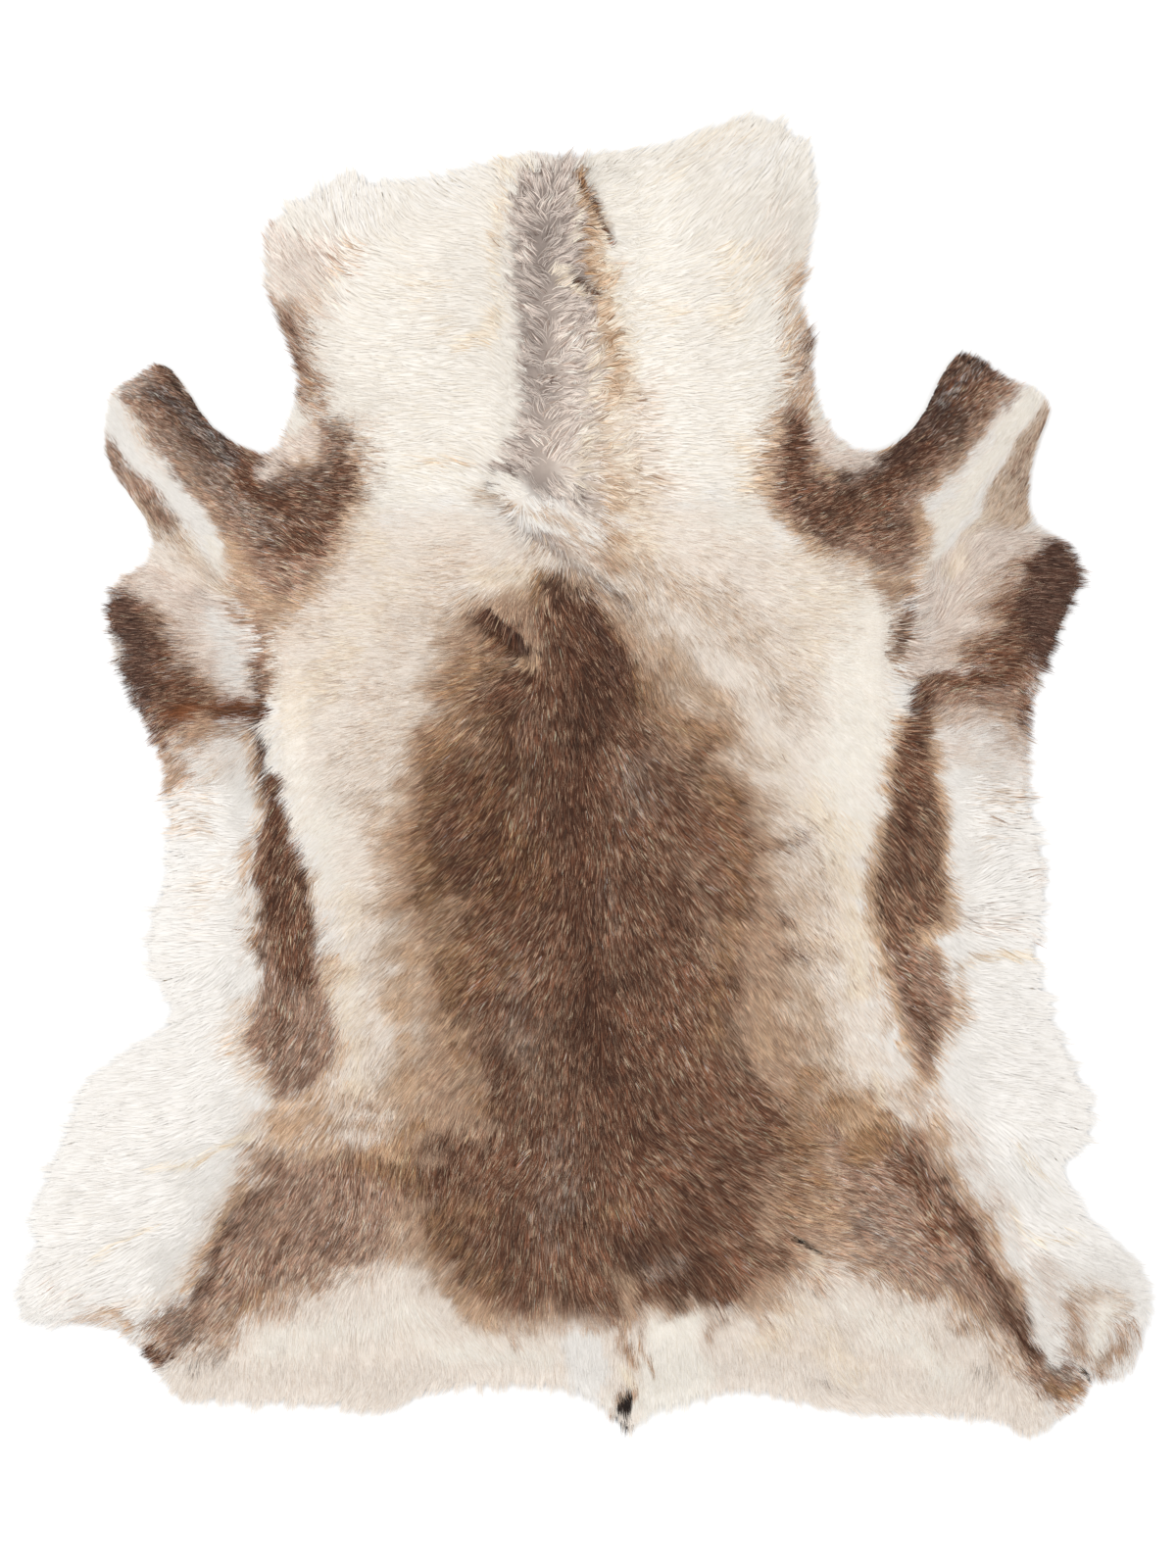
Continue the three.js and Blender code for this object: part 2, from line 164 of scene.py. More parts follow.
# The chart of coats, painted from the first row to the last. Each row has the coat, the share of
# hairs that take it, how soft its edge is, the half-width of the line, or None for a filled
# outline, and the points.
CHART = [
    # the body between the flanks, and the rump
    ("oat", 1, 60, None, [
        (-250, 225), (-200, 255), (-120, 262), (-60, 240), (40, 215), (120, 262), (170, 255),
        (230, 205), (300, 185), (302, 90), (290, 40), (276, -10), (268, -80), (268, -170),
        (290, -250), (335, -330), (400, -470), (450, -600), (450, -680), (-430, -680),
        (-430, -570), (-405, -550), (-350, -440), (-296, -340), (-262, -300),
        (-240, -240), (-240, -150), (-258, -80), (-288, 0), (-302, 80), (-300, 160)]),
    ("cream", 0.8, 50, 18, [(-282, 100), (-268, 10), (-246, -50), (-238, -90)]),
    ("cream", 0.9, 60, 30, [(262, 160), (262, 60), (240, -10), (246, -60)]),
    ("cream", 0.6, 70, 20, [(150, 240), (200, 190), (230, 160)]),
    ("sand", 0.7, 40, 12, [(-222, -110), (-222, -180), (-212, -290)]),
    ("sand", 0.7, 40, 14, [(215, -20), (240, -60), (256, -140), (262, -200)]),
    ("sand", 0.5, 60, 24, [(-210, 250), (-180, 180), (-230, 120), (-270, 60)]),
    ("dust", 0.4, 60, 30, [(-110, 200), (-170, 150), (-190, 60), (-210, -10)]),
    ("dust", 0.3, 50, 26, [(-220, 220), (-250, 160), (-240, 100)]),
    ("dust", 0.6, 60, 28, [(70, 190), (116, 156), (164, 120), (190, 70)]),
    ("dust", 0.25, 60, 30, [(120, 220), (190, 190), (240, 140)]),
    ("dust", 0.4, 40, 16, [(-200, -120), (-196, -220), (-200, -290)]),
    ("dust", 0.45, 40, 18, [(216, -60), (226, -140), (232, -220)]),
    ("dust", 0.3, 40, 14, [(256, -200), (280, -270), (310, -320)]),
    ("dust", 0.3, 50, 16, [(190, -530), (260, -500), (330, -530)]),
    ("sand", 0.4, 60, 24, [(200, 215), (240, 185), (200, 120)]),
    ("sand", 0.4, 40, 14, [(170, 40), (186, 0), (196, -30)]),
    ("tan", 0.5, 34, 8, [(-222, 222), (-236, 190), (-262, 160)]),
    ("tan", 0.45, 50, 14, [(-300, 180), (-290, 140), (-284, 110)]),
    # the neck
    ("ivory", 0.95, 60, None, [(-330, 700), (300, 700), (250, 300), (200, 250), (100, 262),
                               (-110, 270), (-200, 262), (-300, 330)]),
    ("white", 0.5, 60, 26, [(-240, 540), (-170, 560), (-120, 575)]),
    ("cream", 0.5, 70, 40, [(-190, 470), (-160, 420), (-120, 330)]),
    ("cream", 0.8, 60, 40, [(70, 560), (70, 470), (60, 380), (80, 300)]),
    ("cream", 0.7, 60, 30, [(150, 440), (160, 330)]),
    ("cream", 0.7, 50, 24, [(-205, 320), (-196, 290), (-100, 270)]),
    ("sand", 0.65, 26, 7, [(-60, 588), (-76, 560), (-80, 500), (-80, 440), (-88, 412)]),
    ("tan", 0.3, 14, 4, [(-74, 560), (-77, 500)]),
    ("sand", 0.9, 14, 6, [(-118, 404), (-92, 414), (-84, 432)]),
    ("tan", 0.5, 6, 1.5, [(-104, 407), (-88, 424)]),
    ("sand", 0.4, 40, 14, [(-160, 470), (-130, 420)]),
    ("sand", 0.4, 30, 8, [(-150, 300), (-110, 297)]),
    ("tan", 0.6, 4, 1.2, [(-152, 299), (-125, 297), (-98, 296)]),
    ("sand", 0.45, 40, 12, [(88, 572), (110, 592), (150, 610)]),
    ("white", 0.5, 40, 16, [(130, 580), (190, 580)]),
    ("sand", 0.5, 60, 20, [(150, 480), (130, 440)]),
    ("sand", 0.5, 40, 14, [(50, 450), (90, 440)]),
    ("oat", 0.6, 40, 16, [(56, 366), (60, 320), (80, 280)]),
    ("tan", 0.35, 24, 6, [(44, 330), (52, 290)]),
    ("pearl", 0.75, 50, None, [(-300, 525), (-258, 520), (-222, 500), (-214, 470), (-240, 446),
                               (-300, 440)]),
    ("tan", 0.4, 30, 7, [(-250, 452), (-226, 470), (-216, 498)]),
    ("fawn", 0.7, 24, None, [
        (-300, 452), (-268, 444), (-246, 418), (-239, 380), (-238, 340), (-262, 330),
        (-280, 380), (-290, 416)]),
    ("roan", 0.7, 20, None, [
        (-294, 444), (-274, 438), (-257, 416), (-250, 390), (-247, 350), (-266, 350),
        (-284, 400), (-292, 430)]),
    ("umber", 0.6, 12, 4, [(-280, 430), (-268, 408), (-262, 386)]),
    ("gold", 0.5, 10, 3, [(-262, 380), (-256, 352)]),
    ("oat", 0.7, 40, 14, [(186, 530), (178, 490)]),
    ("tan", 0.55, 26, 9, [(200, 474), (194, 446), (195, 420), (198, 380), (199, 352)]),
    ("fawn", 0.75, 18, 8, [(207, 460), (204, 440), (206, 415), (208, 380), (208, 352)]),
    ("brown", 0.5, 12, 5, [(210, 430), (211, 404), (212, 384)]),
    ("umber", 0.6, 6, 3, [(209, 404), (218, 411)]),
    ("tan", 0.6, 30, 8, [(172, 340), (166, 300), (160, 276)]),
    ("sand", 0.6, 40, 12, [(150, 320), (150, 280)]),
    # the nape
    ("taupe", 1, 12, None, [
        (-66, 470), (-67, 548), (-52, 578), (-34, 586), (-4, 584), (4, 556), (6, 520),
        (-4, 495), (10, 456), (20, 432), (26, 372), (24, 310), (22, 262), (14, 240),
        (-26, 262), (-46, 262), (-56, 284), (-96, 292), (-74, 312), (-58, 340), (-60, 410)]),
    ("pearl", 0.5, 40, 22, [(-12, 430), (-14, 340), (-20, 300)]),
    ("sand", 0.5, 20, 10, [(18, 440), (14, 390), (10, 330), (0, 280)]),
    ("oat", 0.5, 20, 12, [(-10, 300), (-14, 270), (6, 240)]),
    ("oat", 0.9, 60, 30, [(44, 340), (54, 290), (70, 240)]),
    ("sand", 0.6, 50, 20, [(34, 330), (42, 270), (50, 220)]),
    ("sand", 0.9, 26, 12, [(24, 452), (34, 414), (40, 380), (30, 350)]),
    ("tan", 0.85, 26, 9, [(20, 446), (28, 414), (34, 384), (26, 362)]),
    ("gold", 0.4, 16, 4, [(26, 424), (32, 402), (38, 386), (30, 370)]),
    ("tan", 0.7, 26, 7, [(24, 350), (26, 300), (30, 262), (30, 220)]),
    ("gold", 0.35, 14, 3, [(18, 284), (34, 276)]),
    ("gold", 0.45, 20, 6, [(24, 240), (34, 222), (32, 206)]),
    ("tan", 0.4, 12, 3, [(46, 352), (62, 346)]),
    ("sand", 0.9, 14, 9, [(18, 520), (14, 490), (24, 464)]),
    ("tan", 0.85, 12, 7, [(0, 574), (6, 548), (12, 520), (8, 490), (16, 466)]),
    ("tan", 0.6, 16, 5, [(22, 462), (38, 480)]),
    ("gold", 0.8, 9, 4, [(-2, 578), (8, 552), (15, 530), (28, 508)]),
    ("gold", 0.7, 8, 3.5, [(6, 520), (0, 500), (0, 482), (8, 470)]),
    ("sand", 0.8, 6, 3, [(-6, 560), (-4, 530), (-8, 505)]),
    # The umber lines in the next rows are painted shade in the nape's creases.
    ("umber", 0.8, 6, 2, [(3, 574), (9, 552), (14, 534), (23, 514), (30, 504)]),
    ("umber", 0.5, 6, 2, [(10, 522), (4, 504)]),
    ("sand", 0.9, 10, 4, [(-26, 476), (-10, 466), (-4, 460)]),
    ("umber", 0.8, 6, 2.4, [(-8, 469), (4, 463), (14, 456)]),
    ("umber", 0.45, 5, 1.4, [(0, 452), (12, 448)]),
    ("umber", 0.9, 3, 1.2, [(-32, 384), (-31, 374), (-33, 362)]),
    ("umber", 0.6, 3, 1.2, [(-46, 511), (-34, 515)]),
    ("ash", 0.4, 10, 3, [(-90, 290), (-60, 296)]),
    ("cream", 0.4, 12, 6, [(-66, 276), (-56, 262), (-40, 248)]),
    ("dust", 0.6, 22, 9, [(-96, 266), (-72, 260), (-52, 250)]),
    ("dust", 0.45, 50, 20, [(56, 360), (56, 300), (48, 240), (10, 212), (-40, 214)]),
    ("dust", 0.7, 20, 9, [(-40, 250), (-16, 236), (4, 222), (30, 206)]),
    ("tan", 0.5, 24, 9, [(22, 270), (28, 236), (38, 200)]),
    ("fawn", 0.55, 24, 8, [(-40, 222), (0, 214), (30, 198)]),
    ("dust", 0.6, 40, 16, [(60, 196), (80, 170)]),
    # Painted shade: the grey below the fold of the neck and the dark shadow line along it.
    ("taupe", 0.75, 20, 6, [(-66, 240), (-44, 224), (-20, 206), (8, 184), (34, 160)]),
    ("ash", 0.4, 12, 4, [(-20, 202), (16, 178), (40, 156), (56, 144)]),
    ("ash", 0.55, 4, 1.4, [(-85, 276), (-76, 262), (-66, 250), (-50, 238), (-38, 227),
                           (-18, 212), (2, 200), (18, 188), (28, 176)]),
    # the back
    ("dust", 0.8, 60, None, [
        (-40, 205), (0, 188), (60, 182), (92, 150), (104, 116), (134, 92), (156, 62), (164, 34),
        (176, 4), (200, -40), (216, -110), (232, -160), (238, -210), (246, -262), (300, -296),
        (240, -340),
        (200, -460), (150, -500), (-90, -508), (-154, -476), (-190, -440), (-196, -330),
        (-186, -240), (-196, -170), (-204, -110), (-206, -50), (-192, 0), (-170, 50),
        (-148, 100), (-132, 150), (-90, 184)]),
    ("fawn", 0.85, 46, None, [
        (-30, 200), (0, 176), (38, 166), (54, 142), (62, 114), (80, 88), (110, 72),
        (138, 54), (146, 26), (156, 0), (180, -40), (190, -110), (196, -200), (204, -268),
        (230, -300), (290, -312), (336, -330), (380, -400), (420, -490), (440, -550),
        (470, -560), (478, -590), (448, -602), (408, -554), (342, -500), (240, -472),
        (190, -492), (30, -514), (-90, -506), (-154, -462), (-184, -430), (-196, -470),
        (-332, -528), (-404, -566), (-416, -535), (-350, -425), (-306, -352), (-230, -330),
        (-170, -324), (-150, -240), (-158, -170), (-180, -110), (-184, -50), (-172, 0),
        (-152, 50), (-128, 100), (-112, 146), (-84, 168), (-50, 182)]),
    ("tan", 0.5, 30, 8, [(-70, 176), (-44, 178)]),
    ("tan", 0.5, 40, 12, [(70, 128), (96, 100), (128, 76)]),
    ("brown", 0.97, 34, None, [
        (-26, 192), (-18, 174), (14, 158), (30, 140), (40, 118), (48, 98), (60, 78), (80, 60),
        (112, 44), (126, 22), (130, 2), (144, -12), (160, -40), (168, -100), (164, -150),
        (156, -190), (144, -240), (164, -280), (190, -304), (206, -352), (206, -400), (204, -430),
        (198, -450), (170, -472), (148, -484), (127, -506), (112, -500), (98, -492),
        (54, -498), (42, -514), (20, -502), (-20, -495), (-60, -493), (-90, -483),
        (-116, -472), (-132, -454), (-142, -432), (-150, -404), (-200, -404), (-250, -400),
        (-256, -372), (-196, -366), (-146, -352), (-106, -320), (-100, -280), (-122, -240),
        (-134, -180), (-142, -130), (-156, -90), (-158, -40), (-146, 20), (-122, 60),
        (-96, 92), (-84, 116), (-92, 144), (-66, 146), (-42, 160)]),
    ("roan", 0.92, 44, None, [
        (-200, -366), (-250, -362), (-288, -358), (-304, -376), (-334, -412), (-356, -456),
        (-392, -500), (-410, -535), (-403, -558), (-376, -536), (-338, -512), (-300, -490),
        (-250, -475), (-200, -461), (-172, -436), (-164, -390)]),
    ("roan", 0.92, 44, None, [
        (220, -310), (262, -310), (300, -322), (331, -352), (356, -400), (384, -450),
        (406, -500), (434, -545), (472, -560), (478, -582), (454, -600), (438, -590),
        (412, -540), (370, -506), (337, -482), (300, -461), (240, -447), (210, -447),
        (212, -420), (232, -380)]),
    # tones of the back
    ("sand", 0.6, 24, 12, [(-96, 186), (-70, 190), (-50, 190)]),
    ("fawn", 0.7, 22, 10, [(-66, 168), (-56, 142), (-44, 120)]),
    ("gold", 0.7, 16, 6, [(-42, 192), (-40, 170)]),
    ("umber", 0.9, 22, 7, [(-30, 184), (-22, 168), (-4, 152), (10, 140)]),
    ("gold", 0.7, 12, 5, [(8, 156), (24, 138), (34, 120)]),
    ("gold", 0.5, 24, 8, [(50, 96), (76, 72), (108, 54), (132, 40)]),
    ("ash", 0.5, 16, 8, [(16, 184), (34, 168), (50, 154)]),
    ("fawn", 0.5, 30, 14, [(100, 36), (60, 50)]),
    ("roan", 0.4, 30, 10, [(-112, 120), (-130, 80), (-146, 40)]),
    # The withers' valley: dark brown hair, with painted shade darkening it along the valley.
    ("umber", 1, 30, 17, [(2, 156), (20, 134), (28, 108), (20, 66), (8, 30)]),
    ("sable", 0.7, 24, 8, [(8, 148), (24, 122), (26, 96)]),
    # Painted shade: the dark line in the withers' crease and the shade beside it.
    ("sable", 0.95, 7, 3, [(-96, 153), (-78, 139), (-48, 116)]),
    ("umber", 0.75, 14, 7, [(-100, 148), (-76, 128), (-56, 110)]),
    ("tan", 0.8, 14, 7, [(-62, 107), (-46, 104)]),
    ("ash", 0.5, 16, 6, [(-88, 106), (-64, 108)]),
    ("umber", 0.6, 24, 10, [(-66, 90), (-40, 90)]),
    ("fawn", 0.5, 24, 9, [(-86, 106), (-82, 88)]),
    ("fawn", 0.4, 40, 14, [(-98, -236), (-104, -270)]),
    ("ash", 0.3, 40, 12, [(-56, 50), (-64, 10), (-60, -34)]),
    ("ash", 0.35, 50, 20, [(50, 10), (60, -20)]),
    ("bistre", 0.6, 60, 30, [(-86, 30), (-90, -20), (-70, -90)]),
    ("bistre", 0.4, 60, 26, [(-70, -90), (-110, -130), (-90, -180)]),
    ("umber", 0.95, 46, 19, [(0, 120), (0, 60), (-8, -40), (-4, -130), (16, -240), (46, -330)]),
    ("gold", 0.55, 44, 14, [(-100, 106), (-118, 66), (-138, 20), (-152, -50), (-146, -100),
                            (-128, -160), (-118, -240), (-100, -310)]),
    ("gold", 0.55, 44, 13, [(62, 70), (104, 40), (130, -20), (148, -100), (136, -170),
                            (122, -240)]),
    ("umber", 0.6, 40, 14, [(-70, 90), (-80, 30), (-94, -50), (-60, -96)]),
    ("umber", 0.5, 40, 12, [(-30, 20), (-36, -60)]),
    ("umber", 0.5, 50, 20, [(60, -216), (62, -270)]),
    ("fawn", 0.45, 40, 16, [(112, -116), (120, -160)]),
    ("fawn", 0.4, 40, 16, [(-122, 62), (-96, 30)]),
    ("fawn", 0.45, 40, 14, [(74, 26), (110, 2)]),
    ("umber", 0.85, 26, 8, [(10, -80), (8, -150), (12, -210)]),
    ("umber", 0.75, 36, 14, [(22, -200), (26, -250), (54, -300), (58, -350)]),
    ("umber", 0.5, 36, 14, [(-120, -30), (-130, -60), (-100, -84)]),
    ("umber", 0.4, 36, 14, [(-60, -110), (-40, -150)]),
    ("ash", 0.2, 30, 12, [(26, -104), (30, -150)]),
    ("fawn", 0.45, 40, 16, [(110, -86), (132, -104)]),
    ("fawn", 0.5, 44, 20, [(150, -150), (168, -190)]),
    ("tan", 0.6, 30, 10, [(172, -214), (168, -262), (184, -250)]),
    ("gold", 0.25, 50, 22, [(-100, -160), (-70, -180)]),
    ("fawn", 0.5, 40, 14, [(-126, -130), (-140, -150)]),
    ("tan", 0.7, 40, 14, [(-164, -170), (-170, -230), (-160, -290)]),
    ("tan", 0.6, 24, 8, [(-112, -240), (-132, -232)]),
    ("fawn", 0.6, 34, 14, [(-100, -286), (-130, -282)]),
    ("fawn", 0.7, 28, 12, [(-92, -328), (-118, -318)]),
    ("fawn", 0.4, 50, 20, [(-60, -250), (-40, -290)]),
    ("gold", 0.7, 40, 14, [(-160, -330), (-200, -360), (-160, -380)]),
    ("umber", 0.5, 30, 12, [(-140, -352), (-112, -376)]),
    ("ash", 0.35, 40, 16, [(-20, -350), (-30, -420)]),
    ("umber", 0.5, 40, 14, [(-64, -440), (-70, -476), (-20, -484)]),
    ("gold", 0.45, 40, 14, [(-130, -400), (-118, -446), (-90, -470)]),
    ("fawn", 0.35, 30, 12, [(134, -230), (140, -276)]),
    ("gold", 0.6, 50, 16, [(204, -320), (216, -360), (226, -400)]),
    ("umber", 0.6, 30, 10, [(-126, -436), (-110, -440)]),
    ("gold", 0.55, 26, 8, [(-142, -410), (-138, -470), (-110, -492)]),
    ("gold", 0.5, 24, 8, [(-112, -400), (-90, -410)]),
    ("umber", 0.7, 34, 16, [(52, -440), (96, -432), (124, -470), (80, -480)]),
    ("sable", 0.6, 16, 7, [(52, -444), (46, -452)]),
    ("umber", 0.7, 20, 8, [(128, -460), (130, -492)]),
    ("gold", 0.6, 22, 7, [(24, -412), (40, -408)]),
    ("tan", 0.5, 16, 5, [(22, -462), (40, -470)]),
    ("ash", 0.5, 24, 8, [(90, -460), (60, -466)]),
    ("fawn", 0.6, 44, 16, [(178, -372), (184, -400), (182, -430)]),
    ("umber", 0.5, 40, 14, [(126, -360), (106, -392)]),
    ("ash", 0.35, 40, 16, [(-60, -200), (-60, -250)]),
    ("fawn", 0.5, 40, 18, [(84, 24), (104, -4)]),
    # the sides of the back
    ("fawn", 0.5, 30, 8, [(-196, -30), (-206, -60), (-190, -96)]),
    ("brown", 0.5, 24, 8, [(206, -52), (190, -62)]),
    ("umber", 0.5, 30, 8, [(192, -128), (176, -120)]),
    ("brown", 0.6, 24, 8, [(190, -166), (206, -174)]),
    ("gold", 0.3, 30, 10, [(210, -200), (224, -250)]),
    ("gold", 0.6, 40, 14, [(194, -302), (212, -284), (232, -300)]),
    ("gold", 0.8, 40, 20, [(240, -306), (276, -330), (262, -350)]),
    ("tan", 0.7, 24, 10, [(256, -296), (270, -322), (244, -324)]),
    ("sand", 0.8, 8, 3, [(274, -280), (279, -312)]),
    ("tan", 0.6, 20, 8, [(300, -300), (318, -320)]),
    ("dust", 0.4, 60, 16, [(-300, -326), (-240, -320), (-190, -314)]),
    ("fawn", 0.6, 50, 14, [(-296, -344), (-240, -336), (-196, -332)]),
    ("tan", 0.65, 40, 12, [(-276, -346), (-240, -346), (-190, -346)]),
    # the thighs
    ("brown", 0.95, 34, 14, [(304, -352), (318, -390), (330, -430)]),
    ("umber", 0.85, 24, 8, [(339, -386), (361, -424), (381, -466), (403, -510), (428, -548)]),
    ("ash", 0.5, 34, 14, [(262, -420), (300, -440)]),
    ("tan", 0.55, 34, 12, [(212, -410), (236, -426), (226, -446)]),
    ("fawn", 0.6, 26, 10, [(250, -400), (226, -396)]),
    ("brown", 0.5, 40, 12, [(214, -350), (220, -390)]),
    ("ash", 0.8, 14, 6, [(440, -558), (464, -572)]),
    ("gold", 0.8, 14, 6, [(442, -580), (456, -590), (468, -584)]),
    ("tan", 0.4, 34, 12, [(352, -490), (380, -524), (408, -552)]),
    ("gold", 0.4, 50, 20, [(200, -340), (206, -400)]),
    # Painted shade: a dark line in the crease of the right thigh.
    ("black", 0.9, 3, 1.5, [(203, -438), (222, -452)]),
    ("sand", 0.8, 10, 4, [(212, -452), (222, -462)]),
    ("brown", 0.4, 26, 9, [(-290, -362), (-284, -380), (-302, -400)]),
    ("umber", 0.25, 20, 7, [(-298, -370), (-316, -404)]),
    ("umber", 0.6, 26, 10, [(-336, -430), (-344, -464), (-372, -490)]),
    ("fawn", 0.35, 40, 16, [(-290, -410), (-280, -440)]),
    ("umber", 0.4, 30, 10, [(-232, -436), (-250, -450)]),
    ("brown", 0.5, 40, 16, [(-240, -370), (-200, -372)]),
    ("brown", 0.5, 30, 10, [(-280, -440), (-300, -470)]),
    ("ash", 0.6, 20, 8, [(-388, -508), (-376, -530)]),
    ("gold", 0.6, 22, 7, [(-302, -486), (-330, -510)]),
    ("umber", 0.9, 10, 5, [(-408, -538), (-402, -550)]),
    ("brown", 0.7, 10, 5, [(-404, -560), (-392, -548)]),
    ("fawn", 0.7, 26, 10, [(-174, -412), (-180, -450)]),
    ("ash", 0.4, 22, 8, [(-340, -548), (-370, -560)]),
    # the rump band and the tail
    ("cream", 0.8, 40, 14, [(250, -500), (300, -520), (340, -560)]),
    ("cream", 0.8, 50, 16, [(-150, -520), (-240, -520), (-290, -530)]),
    ("cream", 0.8, 30, 10, [(-130, -545), (-30, -545)]),
    ("sand", 0.5, 40, 14, [(170, -530), (210, -500), (250, -560)]),
    ("tan", 0.5, 16, 5, [(180, -500), (196, -490)]),
    ("tan", 0.5, 18, 6, [(-110, -500), (-86, -516)]),
    ("fawn", 0.55, 14, 5, [(-74, -514), (-62, -536)]),
    ("fawn", 0.6, 12, 4, [(118, -516), (124, -532)]),
    ("tan", 0.45, 14, 5, [(160, -506), (180, -520)]),
    ("ash", 0.35, 14, 4, [(210, -572), (250, -584)]),
    ("ash", 0.3, 14, 4, [(-186, -572), (-176, -584)]),
    ("ash", 0.3, 16, 5, [(-278, -514), (-250, -510)]),
    ("ash", 0.25, 16, 5, [(-292, -552), (-288, -540)]),
    ("ash", 0.3, 24, 7, [(380, -540), (386, -570), (370, -560)]),
    ("white", 0.9, 14, None, [(-22, -520), (0, -515), (22, -524), (24, -562), (14, -580),
                              (-12, -576)]),
    ("cream", 1, 30, None, [
        (62, -530), (106, -520), (124, -560), (110, -600), (60, -600), (50, -560)]),
    ("cream", 1, 8, None, [
        (57, -512), (82, -507), (106, -503), (110, -530), (108, -562), (92, -580), (70, -580),
        (62, -548)]),
    ("fawn", 0.9, 14, 6, [(40, -476), (40, -512), (42, -550)]),
    ("sand", 0.7, 10, 5, [(34, -560), (46, -578)]),
    ("tan", 0.8, 8, 3, [(36, -474), (46, -482)]),
    ("gold", 0.7, 5, 2, [(51, -512), (54, -538), (64, -564)]),
    ("cream", 1, 12, 9, [(26, -590), (60, -592), (80, -588)]),
    ("fawn", 0.8, 8, 7, [(36, -586), (50, -586)]),
    ("black", 1, 6, 7, [(42, -590), (43, -598)]),
    # the left foreleg and shoulder
    ("tan", 0.7, 26, None, [
        (-440, 372), (-398, 392), (-298, 306), (-256, 334), (-220, 334), (-208, 300),
        (-204, 260), (-226, 220), (-256, 160), (-290, 130), (-320, 160), (-338, 200),
        (-360, 255), (-400, 300), (-440, 352)]),
    ("fawn", 0.55, 40, 16, [(-216, 322), (-216, 288), (-228, 240), (-256, 190), (-286, 168)]),
    ("roan", 1, 20, None, [
        (-444, 366), (-420, 376), (-404, 396), (-391, 396), (-373, 370), (-348, 336),
        (-334, 322), (-308, 316), (-296, 303), (-296, 286), (-262, 294), (-250, 304),
        (-252, 334), (-228, 328), (-217, 300), (-218, 270), (-228, 236), (-246, 202),
        (-268, 168), (-292, 172), (-318, 196), (-328, 214), (-346, 242), (-368, 266),
        (-390, 292), (-410, 324), (-436, 354)]),
    ("brown", 0.8, 36, None, [
        (-418, 374), (-402, 398), (-384, 392), (-360, 345), (-335, 322), (-300, 305),
        (-268, 290), (-238, 298), (-222, 320), (-216, 300), (-220, 265), (-232, 235),
        (-252, 208), (-278, 200), (-302, 220), (-326, 250), (-350, 280), (-375, 308),
        (-402, 340)]),
    ("umber", 0.45, 34, 15, [(-330, 294), (-296, 268), (-268, 242)]),
    ("grizzle", 0.7, 26, 12, [(-410, 370), (-386, 352), (-362, 326), (-336, 302)]),
    ("sable", 0.5, 18, 7, [(-398, 392), (-380, 370), (-358, 342), (-334, 316), (-312, 292)]),
    ("black", 0.5, 14, 5, [(-392, 388), (-382, 370), (-362, 344)]),
    ("ash", 0.55, 36, 16, [(-384, 322), (-350, 286), (-318, 256), (-300, 236)]),
    ("umber", 0.6, 26, 12, [(-316, 286), (-296, 262)]),
    ("umber", 0.4, 20, 8, [(-404, 352), (-384, 336), (-360, 308)]),
    ("ash", 0.6, 16, 9, [(-428, 366), (-408, 378)]),
    ("umber", 0.35, 26, 12, [(-232, 330), (-228, 308), (-246, 284), (-250, 256)]),
    ("ash", 0.35, 30, 12, [(-232, 316), (-246, 280), (-262, 246)]),
    ("ash", 0.5, 24, 10, [(-292, 278), (-262, 284)]),
    ("pearl", 0.8, 18, 9, [(-296, 292), (-276, 302), (-262, 320)]),
    ("fawn", 0.5, 20, 8, [(-380, 300), (-352, 258), (-334, 222)]),
    ("tan", 0.7, 18, 7, [(-326, 214), (-314, 184), (-300, 168)]),
    ("oat", 0.45, 24, 8, [(-440, 350), (-414, 302), (-378, 252), (-340, 204)]),
    ("white", 1, 14, 6, [(-446, 348), (-429, 316), (-410, 290), (-390, 266)]),
    ("white", 1, 18, 9, [(-392, 274), (-372, 250), (-356, 232), (-344, 214)]),
    ("cream", 0.9, 16, 6, [(-348, 220), (-336, 198), (-330, 180)]),
    ("sand", 0.7, 16, 9, [(-372, 214), (-352, 190), (-338, 176)]),
    ("oat", 0.9, 20, 16, [(-410, 210), (-380, 206), (-350, 184)]),
    ("dust", 0.7, 20, None, [
        (-430, 262), (-410, 270), (-390, 254), (-376, 236), (-358, 212), (-376, 204), (-404, 220),
        (-424, 242)]),
    ("roan", 0.9, 18, None, [
        (-454, 320), (-442, 318), (-417, 289), (-398, 264), (-388, 250), (-384, 244),
        (-394, 238), (-406, 244), (-418, 254), (-434, 274), (-456, 296)]),
    ("dust", 0.6, 24, 10, [(-384, 218), (-358, 200), (-336, 176)]),
    # the left elbow
    ("pearl", 0.95, 16, None, [
        (-440, 196), (-410, 207), (-392, 198), (-345, 166), (-318, 142), (-310, 110),
        (-308, 76), (-318, 66), (-390, 74), (-430, 150)]),
    ("white", 0.75, 30, 14, [(-340, 144), (-328, 120), (-328, 92)]),
    ("tan", 0.4, 12, 3, [(-400, 198), (-372, 184), (-350, 174)]),
    ("fawn", 0.8, 40, None, [
        (-436, 190), (-398, 168), (-386, 124), (-352, 92), (-346, 70), (-390, 50),
        (-440, 90), (-455, 150)]),
    ("brown", 0.95, 34, None, [
        (-437, 186), (-412, 168), (-394, 130), (-366, 92), (-360, 66), (-386, 30), (-389, 0),
        (-398, 0), (-415, 55), (-430, 80), (-443, 100), (-438, 118), (-456, 148),
        (-449, 170)]),
    ("sable", 0.8, 26, None, [
        (-437, 186), (-424, 178), (-414, 150), (-402, 122), (-400, 100), (-402, 70),
        (-398, 46), (-418, 60), (-430, 80), (-443, 100), (-438, 118), (-456, 148),
        (-449, 170)]),
